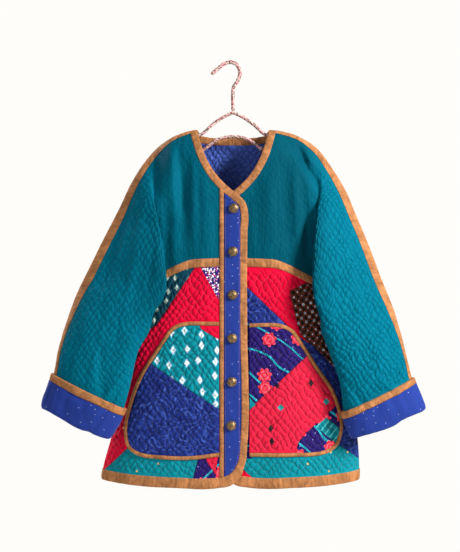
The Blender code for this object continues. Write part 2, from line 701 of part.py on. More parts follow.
def add_solid(name, points, faces, colour):
    """A closed body from points and faces, with its faces turned outwards."""
    mesh = bpy.data.meshes.new(name)
    shape = bmesh.new()
    corners = [shape.verts.new(point) for point in points]
    for face in faces:
        shape.faces.new([corners[index] for index in face])
    bmesh.ops.recalc_face_normals(shape, faces=shape.faces)
    shape.to_mesh(mesh)
    shape.free()
    mesh.shade_smooth()
    mesh.set_sharp_from_angle(angle=math.radians(50))
    return add_object(name, mesh, colour)


def rim_faces(start, stop):
    """The two halves of a rim between two points' outer and inner ends, cut alike on both sides of a seam."""
    (outer_a, inner_a, place_a), (outer_b, inner_b, place_b) = start, stop
    if (abs(round(place_a[0], 5)), round(place_a[2], 5)) <= (abs(round(place_b[0], 5)), round(place_b[2], 5)):
        return [(outer_a, outer_b, inner_b), (outer_a, inner_b, inner_a)]
    return [(outer_a, outer_b, inner_a), (outer_b, inner_b, inner_a)]


def quilted_wall(name, grid, directions, colour, rise, wall, keep):
    """A cloth wall: an outer face that may be raised point by point, over a plain inner face."""
    drawn = open_seams(grid, directions)
    outer = drawn + directions * rise[..., None]
    inner = drawn - directions * wall[..., None]
    columns, rows = grid.shape[:2]
    points = np.concatenate([outer.reshape(-1, 3), inner[keep].reshape(-1, 3)])

    def out_at(column, row):
        return column * rows + row

    def in_at(kept, row):
        return columns * rows + kept * rows + row

    faces = []
    for column in range(columns - 1):
        for row in range(rows - 1):
            a, b = out_at(column, row), out_at(column + 1, row)
            c, d = out_at(column + 1, row + 1), out_at(column, row + 1)
            faces += [(a, b, c), (a, c, d)] if (column + row) % 2 == 0 else [(a, b, d), (b, c, d)]
    for kept in range(len(keep) - 1):
        start, stop = keep[kept], keep[kept + 1]
        for row in range(rows - 1):
            a, b, c, d = in_at(kept, row), in_at(kept + 1, row), in_at(kept + 1, row + 1), in_at(kept, row + 1)
            faces += [(a, b, c), (a, c, d)] if (start + row) % 2 == 0 else [(a, b, d), (b, c, d)]
        for row in (0, rows - 1):
            ends = (
                (out_at(start, row), in_at(kept, row), grid[start, row]),
                (out_at(stop, row), in_at(kept + 1, row), grid[stop, row]),
            )
            if stop - start == 1:
                faces += rim_faces(*ends)
                continue
            middle = out_at(start + 1, row)
            faces.append((ends[0][0], middle, ends[0][1]))
            faces.append((middle, ends[1][1], ends[0][1]))
            faces.append((middle, ends[1][0], ends[1][1]))
    for column, kept in ((0, 0), (columns - 1, len(keep) - 1)):
        for row in range(rows - 1):
            faces += rim_faces(
                (out_at(column, row), in_at(kept, row), grid[column, row]),
                (out_at(column, row + 1), in_at(kept, row + 1), grid[column, row + 1]),
            )
    return add_solid(name, points, faces, colour)


def laid_piece(name, grid, directions, colour, lift, thickness):
    """A piece that lies on a panel, made from the panel's own points, moved out."""
    low = (grid + directions * lift).reshape(-1, 3)
    high = (grid + directions * (lift + thickness)).reshape(-1, 3)
    ways = directions.reshape(-1, 3)
    columns, rows = grid.shape[:2]
    total = columns * rows
    faces = []
    for column in range(columns - 1):
        for row in range(rows - 1):
            a = column * rows + row
            b, c, d = a + rows, a + rows + 1, a + 1
            prouder = (low[a] + low[c] - low[b] - low[d]) @ (ways[a] + ways[c]) * lift > 0
            halves = [(a, b, c), (a, c, d)] if prouder else [(a, b, d), (b, c, d)]
            faces += halves
            faces += [tuple(index + total for index in half) for half in halves]
    edge = [(column * rows, (column + 1) * rows) for column in range(columns - 1)]
    edge += [(column * rows + rows - 1, (column + 1) * rows + rows - 1) for column in range(columns - 1)]
    edge += [(row, row + 1) for row in range(rows - 1)]
    edge += [((columns - 1) * rows + row, (columns - 1) * rows + row + 1) for row in range(rows - 1)]
    faces += [(a, b, b + total, a + total) for a, b in edge]
    return add_solid(name, np.concatenate([low, high]), faces, colour)


def swept(name, sections, colour, closed=False):
    """A solid through like cross-sections, each a ring of points."""
    count, corners = sections.shape[:2]
    faces = []
    for index in range(count if closed else count - 1):
        after = (index + 1) % count
        for corner in range(corners):
            beside = (corner + 1) % corners
            faces.append((index * corners + corner, index * corners + beside,
                          after * corners + beside, after * corners + corner))
    if not closed:
        faces.append(tuple(range(corners)))
        faces.append(tuple((count - 1) * corners + corner for corner in range(corners)))
    return add_solid(name, sections.reshape(-1, 3), faces, colour)


def edge_binding(name, line, directions, outward, width, colour="tan"):
    """A folded edge strip that lies end to end with a panel's edge."""
    width = np.broadcast_to(width, (len(line),))[:, None]
    near, far = line + outward * SEAM_GAP, line + outward * width
    crown = line + outward * width * CROWN_AT
    high = directions * BINDING_PROUD
    low = directions * (WALL + BINDING_PROUD)
    sections = np.stack([
        near + NEAR_PROUD * high, crown + high, far - FAR_DRAWN_IN * high,
        far - low + FAR_DRAWN_IN * high, crown - low, near - low + (1 - NEAR_PROUD) * high,
    ], axis=1)
    return swept(name, sections, colour)


def down_from(direction):
    """The way down along the cloth, at a place where its own direction leaves it."""
    down = np.array([0.0, 0.0, -1.0])
    return unit(down - (down @ direction) * direction)


def pocket_grid(side):
    """The pocket's own cloth inside its piping, and its outline, both in out and z."""
    top = along(POCKET_TOP[side], POCKET_CELLS + 1)
    outer = along(POCKET_SIDE[side], DENSE)
    foot = along(POCKET_FOOT[side], POCKET_CELLS + 1)
    inner = np.linspace(top[0], foot[0], DENSE)
    top[-1], foot[-1] = outer[0], outer[-1]
    whole = patch(top, foot, inner, outer, np.linspace(0, 1, POCKET_CELLS + 1))
    pick = np.round(np.linspace(0, DENSE - 1, POCKET_ROWS + 1)).astype(int)
    whole = whole[:, pick]
    edge = np.concatenate([whole[:, 0], whole[-1, 1:], whole[-2::-1, -1]])
    way = unit(np.gradient(edge, axis=0))
    across = np.stack([way[:, 1], -way[:, 0]], axis=1)
    across = across if across[POCKET_CELLS // 2, 1] < 0 else -across
    drawn = edge + across * POCKET_PIPING_WIDTH
    drawn[0, 0] = edge[0, 0]
    drawn[-1, 0] = edge[-1, 0]
    cloth = patch_from_edges(drawn)
    return cloth, edge, drawn


def patch_from_edges(edge):
    """Fills the outline of a pocket, given as its top, side and foot in one line, with a grid."""
    top = edge[:POCKET_CELLS + 1]
    outer = edge[POCKET_CELLS:POCKET_CELLS + POCKET_ROWS + 1]
    foot = edge[POCKET_CELLS + POCKET_ROWS:][::-1]
    drop = np.linspace(0, 1, POCKET_ROWS + 1)[None, :, None]
    share = np.linspace(0, 1, POCKET_CELLS + 1)[:, None, None]
    inner = (1 - drop[0]) * top[0] + drop[0] * foot[0]
    straight = (1 - drop) * top[:, None] + drop * foot[:, None]
    flat_outer = (1 - drop) * outer[0] + drop * outer[-1]
    flat_inner = (1 - drop) * inner[0] + drop * inner[-1]
    return straight + share * (outer[None] - flat_outer) + (1 - share) * (inner[None] - flat_inner)


def on_front(side, flat, lift=0.0):
    """Points on the front cloth at places in out and z, with the directions that leave it."""
    step = SLOPE_STEP
    out, z = flat[..., 0], flat[..., 1]
    here = with_y(side, FRONT, flat, body_y(side, FRONT, out, z))
    beside = with_y(side, FRONT, flat + [step, 0], body_y(side, FRONT, out + step, z))
    below = with_y(side, FRONT, flat - [0, step], body_y(side, FRONT, out, z - step))
    directions = unit(np.cross(beside - here, below - here))
    directions = directions * -np.sign(directions[..., 1:2])
    return here + directions * lift, directions


def near_pocket(side, grid):
    """Which points of a lower front lie under a pocket or close to it."""
    _, edge, _ = pocket_grid(side)
    out, z = side * grid[..., 0], grid[..., 2]
    least = np.min(np.hypot(out[..., None] - edge[:, 0], z[..., None] - edge[:, 1]), axis=-1)
    outer = edge[POCKET_CELLS:-POCKET_CELLS]
    within = out < np.interp(-z, -outer[:, 1], outer[:, 0])
    inside = (z < edge[:, 1].max()) & (z > edge[:, 1].min()) & within
    return inside | (least < POCKET_CLEAR)


def quilting(columns, rows, first_column=1, last_column=1):
    """Every other point is raised, and none along the edges and under the bands."""
    raised = np.zeros((columns, rows))
    for column in range(first_column, columns - last_column):
        for row in range(2, rows - 2):
            raised[column, row] = (column + row) % 2
    return raised


def build_cloth():
    """All the panels, their walls and the trim that follows them."""
    fronts = {side: upper(side, FRONT) for side in SIDES}
    backs = {side: upper(side, BACK) for side in SIDES}
    lower_fronts = {side: lower(side, FRONT) for side in SIDES}
    lower_backs = {side: lower(side, BACK) for side in SIDES}
    for side in SIDES:
        backs[side][-SLEEVE_CELLS - CUFF_CELLS - 1:, 0] = fronts[side][-SLEEVE_CELLS - CUFF_CELLS - 1:, 0]
        backs[side][-SLEEVE_CELLS - CUFF_CELLS - 1:, -1] = fronts[side][-SLEEVE_CELLS - CUFF_CELLS - 1:, -1]
    back = np.concatenate([backs[RIGHT][::-1], backs[LEFT][1:]])
    lower_back = np.concatenate([lower_backs[RIGHT][::-1], lower_backs[LEFT][1:]])
    for side in SIDES:
        lower_fronts[side][:, 0] = fronts[side][:len(lower_fronts[side]), -1]
    half = len(backs[RIGHT]) - 1
    reach = len(lower_backs[RIGHT]) - 1
    lower_back[:, 0] = back[half - reach:half + reach + 1, -1]
    for side, edge in ((RIGHT, 0), (LEFT, -1)):
        lower_back[edge] = lower_fronts[side][-1]

    ways = {
        "back": normals_of(back, BACK, (half, 6)),
        "lower_back": normals_of(lower_back, BACK, (reach, 6)),
    }
    grids = {"back": back, "lower_back": lower_back}
    for side, name in SIDES.items():
        grids["front_" + name] = fronts[side]
        grids["lower_" + name] = lower_fronts[side]
        ways["front_" + name] = normals_of(fronts[side], FRONT, (4, 8))
        ways["lower_" + name] = normals_of(lower_fronts[side], FRONT, (4, 8))
    share_normals([(grids[key], ways[key]) for key in grids])

    walls, puffs = room_for_cloth(grids, ways)
    hole = SIDE_CELLS + 2
    kept = {}
    for side in SIDES:
        half_back = backs[side]
        low_back = lower_backs[side]
        torso_keep = plain_columns([
            fronts[side][:hole + 1], lower_fronts[side],
            half_back[NECK_CELLS:NECK_CELLS + hole + 1], low_back[NECK_CELLS:],
        ])
        sleeve_keep = plain_columns([fronts[side][hole:], half_back[NECK_CELLS + hole:]])
        kept[side] = (torso_keep, [hole + index for index in sleeve_keep[1:]])

    def across_back(with_sleeve, middle):
        """The kept columns of a whole back, counted from the wearer's right."""
        found = set(range(middle - NECK_CELLS, middle + NECK_CELLS + 1))
        for side in SIDES:
            columns = kept[side][0] + (kept[side][1] if with_sleeve else [])
            found |= {middle + side * (NECK_CELLS + index) for index in columns}
        return sorted(found)

    for side, name in SIDES.items():
        key = "front_" + name
        rise = quilting(*grids[key].shape[:2], first_column=3) * puffs[key]
        rise[-CUFF_CELLS - 2:] = 0
        keep = kept[side][0] + kept[side][1]
        quilted_wall("upper_front_" + name, grids[key], ways[key], "teal", rise, walls[key], keep)
        key = "lower_" + name
        rise = quilting(*grids[key].shape[:2], first_column=3) * puffs[key]
        rise[near_pocket(side, grids[key])] = 0
        quilted_wall("lower_front_" + name, grids[key], ways[key], "patch_red", rise, walls[key], kept[side][0])
    rise = quilting(*back.shape[:2]) * puffs["back"]
    rise[:CUFF_CELLS + 2] = 0
    rise[-CUFF_CELLS - 2:] = 0
    keep = across_back(True, half)
    quilted_wall("upper_back", back, ways["back"], "teal", rise, walls["back"], keep)
    rise = quilting(*lower_back.shape[:2]) * puffs["lower_back"]
    keep = across_back(False, reach)
    quilted_wall("lower_back", lower_back, ways["lower_back"], "patch_blue", rise, walls["lower_back"], keep)

    build_bands(grids, ways, half, reach)
    build_bindings(grids, ways, half, reach)
    build_cuffs(grids, ways)
    lining_columns = slice(half - NECK_CELLS + 1, half + NECK_CELLS)
    lining_ways = ways["back"][lining_columns, :LINING_ROWS]
    lining = open_seams(back[lining_columns, :LINING_ROWS], lining_ways, LINING_DRAWN_IN)
    laid_piece("lining_back", lining, lining_ways, "lining", -WALL - LINING_THICKNESS - LINING_GAP, LINING_THICKNESS)


def build_bands(grids, ways, half, reach):
    """The bands over the shoulders and sleeves, and over the yoke seam."""
    for side, name in SIDES.items():
        front, back = grids["front_" + name], grids["back"]
        front_way, back_way = ways["front_" + name], ways["back"]
        order = range(half + NECK_CELLS, len(back)) if side == LEFT else range(half - NECK_CELLS, -1, -1)
        order = list(order)[:len(front) - CUFF_CELLS]
        count = len(order)
        points = np.stack([front[:count, 1], front[:count, 0], back[order, 1]], axis=1)
        directions = np.stack([front_way[:count, 1], front_way[:count, 0], back_way[order, 1]], axis=1)
        points[0] += unit(points[1] - points[0]) * BAND_END_GAP
        points[-1] += unit(points[-2] - points[-1]) * BAND_END_GAP
        laid_piece("shoulder_band_" + name, points, directions, "tan", BAND_LIFT, BAND_THICKNESS)

        low, low_way = grids["lower_" + name], ways["lower_" + name]
        cells = slice(2, len(low) - 2)
        points = np.stack([front[cells, -2], front[cells, -1], low[cells, 1]], axis=1)
        directions = np.stack([front_way[cells, -2], front_way[cells, -1], low_way[cells, 1]], axis=1)
        laid_piece("yoke_band_front_" + name, points, directions, "tan", BAND_LIFT, BAND_THICKNESS)
    cells = slice(half - reach + 1, half + reach)
    low, low_way = grids["lower_back"][1:-1], ways["lower_back"][1:-1]
    points = np.stack([grids["back"][cells, -2], grids["back"][cells, -1], low[:, 1]], axis=1)
    directions = np.stack([ways["back"][cells, -2], ways["back"][cells, -1], low_way[:, 1]], axis=1)
    laid_piece("yoke_band_back", points, directions, "tan", BAND_LIFT, BAND_THICKNESS)


def build_bindings(grids, ways, half, reach):
    """The tan edges round the neck, down the fronts and along the hem."""
    back_neck = slice(half - NECK_CELLS, half + NECK_CELLS + 1)
    neck = grids["back"][back_neck, 0]
    neck_way = ways["back"][back_neck, 0]
    lines, line_ways = [], []
    for side, name in SIDES.items():
        front, low = grids["front_" + name], grids["lower_" + name]
        line = np.concatenate([front[0], low[0, 1:], low[1:, -1]])
        way = np.concatenate([ways["front_" + name][0], ways["lower_" + name][0, 1:], ways["lower_" + name][1:, -1]])
        lines.append(line)
        line_ways.append(way)
    whole = np.concatenate([lines[0][:0:-1], neck, lines[1][1:]])
    whole_way = np.concatenate([line_ways[0][:0:-1], neck_way, line_ways[1][1:]])
    outward = unit(np.cross(whole_way, np.gradient(whole, axis=0)))
    middle = len(lines[0]) - 1 + NECK_CELLS
    outward = outward if outward[middle][2] > 0 else -outward
    for end in (0, -1):
        outward[end] = down_from(whole_way[end])
    for side, corner in ((RIGHT, len(lines[0]) - 1), (LEFT, len(lines[0]) - 1 + 2 * NECK_CELLS)):
        inwards = np.array([-side, 0.0, 0.0])
        outward[corner] = unit(inwards - (inwards @ whole_way[corner]) * whole_way[corner])
    turn = len(lines[0]) - 1
    rows = grids["front_right"].shape[1] + grids["lower_right"].shape[1] - 1
    for side, name in SIDES.items():
        part = slice(0, turn + 1) if side == RIGHT else slice(turn + 2 * NECK_CELLS, len(whole))
        line, way, across = whole[part].copy(), whole_way[part], outward[part]
        if side == RIGHT:
            line, way, across = line[::-1], way[::-1], across[::-1]
        width = np.full(len(line), EDGE_BINDING_WIDTH)
        width[rows:] = HEM_BINDING_WIDTH
        line[0] += unit(line[1] - line[0]) * SEAM_GAP / 2
        line[-1] += unit(line[-2] - line[-1]) * SEAM_GAP / 2
        edge_binding("binding_front_" + name, line, way, across, width)
    part = slice(turn, turn + 2 * NECK_CELLS + 1)
    line = whole[part].copy()
    line[0] += unit(line[1] - line[0]) * SEAM_GAP / 2
    line[-1] += unit(line[-2] - line[-1]) * SEAM_GAP / 2
    edge_binding("binding_neck_back", line, whole_way[part], outward[part], EDGE_BINDING_WIDTH)
    line = grids["lower_back"][:, -1].copy()
    way = ways["lower_back"][:, -1]
    across = unit(np.cross(way, np.gradient(line, axis=0)))
    across = across if across[reach][2] < 0 else -across
    for end in (0, -1):
        across[end] = down_from(way[end])
    line[0] += unit(line[1] - line[0]) * SEAM_GAP / 2
    line[-1] += unit(line[-2] - line[-1]) * SEAM_GAP / 2
    edge_binding("binding_hem_back", line, way, across, HEM_BINDING_WIDTH)


def build_cuffs(grids, ways):
    """The ends of the sleeves turned back, with a bound edge."""
    for side, name in SIDES.items():
        front, front_way = grids["front_" + name], ways["front_" + name]
        back = grids["back"] if side == LEFT else grids["back"][::-1]
        back_way = ways["back"] if side == LEFT else ways["back"][::-1]
        loops = np.concatenate([front[-CUFF_CELLS - 1:], back[-CUFF_CELLS - 1:, -2:0:-1]], axis=1)
        loop_ways = np.concatenate([front_way[-CUFF_CELLS - 1:], back_way[-CUFF_CELLS - 1:, -2:0:-1]], axis=1)
        shares = np.linspace(1, 0, CUFF_CELLS + 1)
        fall = unit(loops[-1] - loops[-2])
        depth_here = np.linalg.norm(loops[-1] - loops[0], axis=1)[:, None]

        def at(share, off):
            if share < 0:
                return loops[-1] - fall * depth_here * share + loop_ways[-1] * off
            place = np.array([smooth(-shares, loops[:, k], -share) for k in range(loops.shape[1])])
            way = np.array([smooth(-shares, loop_ways[:, k], -share) for k in range(loops.shape[1])])
            return place + unit(way) * off

        for label, wall, colour in (("cuff_", CUFF_WALL, "blue"), ("cuff_binding_", CUFF_BINDING_WALL, "tan")):
            sections = np.stack([at(share, off) for share, off in wall], axis=1)
            swept(label + name, sections, colour, closed=True)


def build_placket():
    """The blue strip with its piping on the right front, which carries the buttons."""
    heights, outs = table(STRIP_EDGE)
    rows = np.concatenate([heights[:3], np.linspace(heights[3], heights[6], STRIP_ROWS), heights[7:]])
    edge = np.interp(-rows, -heights, outs)
    flat = np.stack([np.stack([edge, rows], axis=1), np.stack([np.full(len(rows), STRIP_OUT), rows], axis=1)])
    points, directions = on_front(RIGHT, flat)
    laid_piece("placket_strip", points, directions, "blue", BAND_LIFT, STRIP_THICKNESS)
    rows = np.linspace(PIPING_TOP, PIPING_FOOT, STRIP_ROWS)
    flat = np.stack([np.stack([np.full(len(rows), out), rows], axis=1) for out in PIPING_OUT])
    points, directions = on_front(RIGHT, flat)
    laid_piece("placket_piping", points, directions, "tan", BAND_LIFT, PIPING_THICKNESS)


def build_buttons():
    """Domed shank buttons, turned round the axis that leaves the placket."""
    profile = np.array(BUTTON_PROFILE)
    turns = np.linspace(0, 2 * math.pi, BUTTON_STEPS, endpoint=False)
    for number in range(BUTTON_COUNT):
        x = BUTTON_FIRST[0] + number * BUTTON_DRIFT
        z = BUTTON_FIRST[1] - number * BUTTON_PITCH
        reach = BUTTON_SEAT
        near = np.array([[-x, z], [-x + reach, z], [-x - reach, z], [-x, z + reach], [-x, z - reach]])
        seat = on_front(RIGHT, near, BAND_LIFT + STRIP_THICKNESS)[0][:, 1].min() - SEAT_GAP
        shape = bmesh.new()
        tip = shape.verts.new((x, seat - profile[0][1], z))
        foot = shape.verts.new((x, seat, z))
        rings = []
        for radius, height in profile[1:-1]:
            rings.append([
                shape.verts.new((x + radius * math.cos(turn), seat - height, z + radius * math.sin(turn)))
                for turn in turns
            ])
        for index in range(BUTTON_STEPS):
            after = (index + 1) % BUTTON_STEPS
            shape.faces.new((tip, rings[0][index], rings[0][after]))
            shape.faces.new((foot, rings[-1][after], rings[-1][index]))
            for upper_ring, lower_ring in zip(rings, rings[1:]):
                shape.faces.new((upper_ring[index], lower_ring[index], lower_ring[after], upper_ring[after]))
        bmesh.ops.recalc_face_normals(shape, faces=shape.faces)
        mesh = bpy.data.meshes.new(f"button_{number + 1}")
        shape.to_mesh(mesh)
        shape.free()
        mesh.shade_smooth()
        mesh.set_sharp_from_angle(angle=math.radians(50))
        add_object(f"button_{number + 1}", mesh, "brass")


def build_pockets():
    """The patch pockets, quilted, with piping round them."""
    for side, name in SIDES.items():
        cloth, edge, drawn = pocket_grid(side)
        points, directions = on_front(side, cloth, POCKET_LIFT + WALL)
        rise = quilting(*points.shape[:2]) * QUILT_RISE
        wall = np.full(points.shape[:2], WALL)
        keep = plain_columns([points])
        quilted_wall("pocket_" + name, points, directions, "patch_red", rise, wall, keep)
        line_out, way = on_front(side, edge)
        line_in = on_front(side, drawn)[0]
        across = unit(line_out - line_in)
        low = POCKET_LIFT * way
        high = (POCKET_LIFT + WALL + PIPING_PROUD) * way
        near = line_in + across * SEAM_GAP
        sections = np.stack([near + low, line_out + low, line_out + PIPING_OUTER * high, near + high], axis=1)
        swept("pocket_piping_" + name, sections, "tan")


def rod(name, path, y, radius, count, colour):
    """A round rod along a smooth path in X and Z."""
    line = along(path, count)
    curve = bpy.data.curves.new(name, "CURVE")
    curve.dimensions = "3D"
    curve.bevel_depth = radius
    curve.bevel_resolution = 2
    curve.use_fill_caps = True
    spline = curve.splines.new("POLY")
    spline.points.add(count - 1)
    for point, (x, z) in zip(spline.points, line):
        point.co = (x, y, z, 1.0)
    return add_object(name, curve, colour)


def arm_z(out):
    """Height of the hanger's arm where it carries the shoulder from inside."""
    step = SLOPE_STEP
    heights = []
    for side in SIDES:
        slope = (shoulder_z(side, out + step) - shoulder_z(side, out - step)) / (2 * step)
        drop = (ARM_CLEAR + ROD_RADIUS) * math.sqrt(1 + slope**2)
        drop += NECK_DROP * (1 - float(ease((out - NECK_POINT) / NECK_EASE)))
        heights.append(float(shoulder_z(side, out) - drop))
    return min(heights)


def build_hanger():
    """A bent wire, wrapped in cloth: hook, arms and the lower bar."""
    outs = np.linspace(ARM_BEND_OUT, ARM_END, ARM_POINTS)
    half = [(0.0, ARM_APEX_Z), *ARM_RISE] + [(out, arm_z(out)) for out in outs]
    arms = [(-out, z) for out, z in half[:0:-1]] + half
    rod("hanger_arms", arms, ARM_Y, ROD_RADIUS, SWEEP_POINTS, "calico")
    neck_foot = (0.0, ARM_APEX_Z + ROD_RADIUS + HOOK_FOOT_GAP)
    rod("hanger_hook", HOOK_PATH + (HOOK_BEND, neck_foot), ARM_Y, HOOK_RADIUS, HOOK_POINTS, "calico")
    bar_end = ARM_END - BAR_INSIDE_ARM
    end = (bar_end, arm_z(bar_end) - BAR_BELOW_ARM)
    bar = BAR_PATH + (end,)
    rod("hanger_bar", [(-out, z) for out, z in bar[:0:-1]] + list(bar), ARM_Y, ROD_RADIUS, SWEEP_POINTS, "calico")


def main():
    for item in list(bpy.data.objects):
        bpy.data.objects.remove(item)
    group = bpy.data.collections.new(COLLECTION)
    bpy.context.scene.collection.children.link(group)
    build_cloth()
    build_placket()
    build_buttons()
    build_pockets()
    build_hanger()


main()
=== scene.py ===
"""Quilted patchwork jacket on a cloth-wrapped wire hanger, laid out as an add-on and run as a script.

Metres, +Z up. The front faces -Y and the wearer's right is at -X. "out" is the distance from the middle
of the jacket towards the side that a piece belongs to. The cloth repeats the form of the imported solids,
cut much finer, and adds the quilting, the small creases, the sewing and the prints.
"""

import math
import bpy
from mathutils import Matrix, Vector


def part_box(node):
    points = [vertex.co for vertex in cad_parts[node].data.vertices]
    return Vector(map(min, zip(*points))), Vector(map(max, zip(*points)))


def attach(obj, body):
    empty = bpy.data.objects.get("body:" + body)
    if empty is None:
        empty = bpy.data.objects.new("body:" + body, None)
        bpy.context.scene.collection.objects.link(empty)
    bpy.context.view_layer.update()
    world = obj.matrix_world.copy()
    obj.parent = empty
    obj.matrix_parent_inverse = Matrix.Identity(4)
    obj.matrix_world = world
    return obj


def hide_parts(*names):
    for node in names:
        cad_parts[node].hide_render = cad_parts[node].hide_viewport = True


bl_info = {
    "name": "Quilted jacket",
    "version": (1, 0, 0),
    "blender": (4, 5, 0),
    "location": "3D View > Sidebar > Jacket",
    "description": "Builds the cloth, trim, buttons and hanger of a quilted patchwork jacket",
    "category": "Object",
}

import bmesh
import bpy
import numpy as np
from mathutils import Vector
from mathutils.bvhtree import BVHTree

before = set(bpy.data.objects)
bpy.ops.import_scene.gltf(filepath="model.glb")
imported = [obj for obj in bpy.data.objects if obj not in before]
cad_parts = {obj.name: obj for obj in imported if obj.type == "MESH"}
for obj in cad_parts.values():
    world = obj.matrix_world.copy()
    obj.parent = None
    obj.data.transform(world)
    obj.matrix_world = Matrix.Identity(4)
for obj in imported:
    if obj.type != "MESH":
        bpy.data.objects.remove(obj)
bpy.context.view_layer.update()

RIGHT = -1
LEFT = 1
FRONT = -1
BACK = 1
SIDES = {RIGHT: "right", LEFT: "left"}
ALL = slice(None)
EDGES = (0, -1, (ALL, 0), (ALL, -1))

# The solids' form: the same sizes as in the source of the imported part
WALL = 0.0026
SEAM_GAP = 0.0004
THINNEST = 0.35
WALL_SHARE = 0.40
PUFF_SHARE = 0.25
FULL_PUFF = 0.0013
RAY_START = 0.0004
RAY_REACH = 0.012
EDGE_BINDING_WIDTH = 0.0128
HEM_BINDING_WIDTH = 0.019
BAND_LIFT = 0.0006
BAND_THICKNESS = 0.0012
SHOULDER_BAND_HALF = 0.0125
YOKE_BAND_HALF = 0.0085
FRONT_BAND_ROWS = 2
BAND_END_GAP = 0.0015
LAP_DROP = 0.0072
LAP_OUT = 0.031
LAP_EASE = 0.075
LAP_TOP = -0.145
LAP_RISE = 0.10
LINING_THICKNESS = 0.0015
LINING_GAP = 0.0011
LINING_ROWS = 8
LINING_DRAWN_IN = 0.004
LINING_PUFF = 0.0010
BODY = (
    (-0.150, 0.190, 0.190, 0.046, 0.030), (-0.300, 0.212, 0.212, 0.058, 0.037),
    (-0.470, 0.206, 0.206, 0.064, 0.041), (-0.600, 0.221, 0.226, 0.068, 0.044),
    (-0.712, 0.234, 0.246, 0.071, 0.046), (-0.767, 0.250, 0.254, 0.072, 0.047),
    (-0.827, 0.2655, 0.257, 0.072, 0.048), (-0.870, 0.2690, 0.257, 0.072, 0.048),
)
BODY_SQUARENESS = 2.4
SHOULDER_ROUND = 0.080
SHOULDER = {
    RIGHT: ((0.0, -0.120), (0.079, -0.134), (0.127, -0.1525), (0.1625, -0.1805), (0.193, -0.223),
            (0.232, -0.300)),
    LEFT: ((0.0, -0.120), (0.081, -0.134), (0.132, -0.148), (0.1755, -0.178), (0.213, -0.233),
           (0.251, -0.315)),
}
SHOULDER_POINT = {RIGHT: 0.1625, LEFT: 0.1755}
NECK_POINT = 0.086
YOKE = (
    (-0.020, -0.404), (0.060, -0.4045), (0.085, -0.4065), (0.114, -0.417), (0.140, -0.430), (0.165, -0.443),
    (0.190, -0.459), (0.206, -0.470),
)
UNDERARM_OUT = 0.206
UNDERARM = (0.206, 0.0, 0.470)
UNDERARM_THINNED = 0.030
UNDERARM_DRAWN_IN = 0.0010
FRONT_EDGE = (
    (0.086, -0.1355), (0.0826, -0.1485), (0.068, -0.194), (0.045, -0.234), (0.022, -0.2594), (0.0, -0.2775),
    (-0.012, -0.289), (-0.0165, -0.306), (-0.0152, -0.340), (-0.0145, -0.404),
)
FRONT_LOWER_EDGE = (
    (-0.0145, -0.404), (-0.0145, -0.500), (-0.0145, -0.770), (-0.0122, -0.794), (-0.0045, -0.8130),
)
FRONT_HEM = (
    (-0.0045, -0.8130), (0.0035, -0.8215), (0.0125, -0.8270), (0.028, -0.8300), (0.120, -0.8310),
    (0.200, -0.8280), (0.269, -0.8220),
)
BACK_NECK = ((0.0, -0.160), (0.030, -0.1600), (0.056, -0.1575), (0.076, -0.150), (0.086, -0.1355))
BACK_HEM = ((0.0, -0.8310), (0.120, -0.8310), (0.200, -0.8280), (0.269, -0.8220))
SLEEVE = {
    RIGHT: (
        (0.1625, -0.1805, 0.000, 0.206, -0.470, 0.000, 0.45, 0.170, -0.043, 0.45, 0.178, 0.030),
        (0.193, -0.223, -0.003, 0.213, -0.480, -0.013, 0.34, 0.150, -0.049, 0.45, 0.204, 0.036),
        (0.232, -0.300, -0.008, 0.215, -0.490, -0.026, 0.33, 0.1395, -0.070, 0.50, 0.228, 0.033),
        (0.261, -0.358, -0.012, 0.208, -0.503, -0.040, 0.42, 0.136, -0.089, 0.50, 0.250, 0.024),
        (0.289, -0.417, -0.016, 0.196, -0.515, -0.055, 0.48, 0.139, -0.097, 0.50, 0.262, 0.010),
        (0.312, -0.466, -0.020, 0.168, -0.531, -0.066, 0.60, 0.186, -0.090, 0.50, 0.262, -0.006),
        (0.336, -0.530, -0.025, 0.190, -0.583, -0.066, 0.50, 0.250, -0.084, 0.50, 0.270, -0.016),
        (0.350, -0.580, -0.029, 0.202, -0.640, -0.066, 0.50, 0.274, -0.082, 0.50, 0.280, -0.021),
        (0.358, -0.625, -0.033, 0.216, -0.690, -0.064, 0.50, 0.286, -0.080, 0.50, 0.290, -0.023),
        (0.381, -0.692, -0.038, 0.246, -0.751, -0.060, 0.50, 0.313, -0.076, 0.50, 0.315, -0.023),
    ),
    LEFT: (
        (0.1755, -0.178, 0.000, 0.206, -0.470, 0.000, 0.40, 0.182, -0.042, 0.45, 0.184, 0.030),
        (0.213, -0.233, -0.004, 0.213, -0.480, -0.013, 0.22, 0.166, -0.054, 0.45, 0.214, 0.036),
        (0.251, -0.315, -0.009, 0.215, -0.490, -0.026, 0.25, 0.163, -0.074, 0.50, 0.238, 0.033),
        (0.274, -0.372, -0.013, 0.209, -0.503, -0.040, 0.38, 0.162, -0.090, 0.50, 0.256, 0.024),
        (0.297, -0.435, -0.017, 0.200, -0.514, -0.054, 0.48, 0.165, -0.094, 0.50, 0.264, 0.010),
        (0.320, -0.494, -0.022, 0.179, -0.533, -0.066, 0.60, 0.198, -0.090, 0.50, 0.266, -0.006),
        (0.338, -0.553, -0.026, 0.193, -0.586, -0.066, 0.50, 0.254, -0.084, 0.50, 0.272, -0.016),
        (0.350, -0.605, -0.030, 0.212, -0.645, -0.066, 0.50, 0.280, -0.082, 0.50, 0.284, -0.021),
        (0.357, -0.634, -0.033, 0.219, -0.697, -0.064, 0.50, 0.288, -0.080, 0.50, 0.290, -0.023),
        (0.382, -0.694, -0.038, 0.238, -0.751, -0.060, 0.50, 0.311, -0.076, 0.50, 0.312, -0.023),
    ),
}
SLEEVE_ROUNDNESS = {FRONT: (1.70, 1.15, 0.92), BACK: (1.70, 1.20, 1.05)}
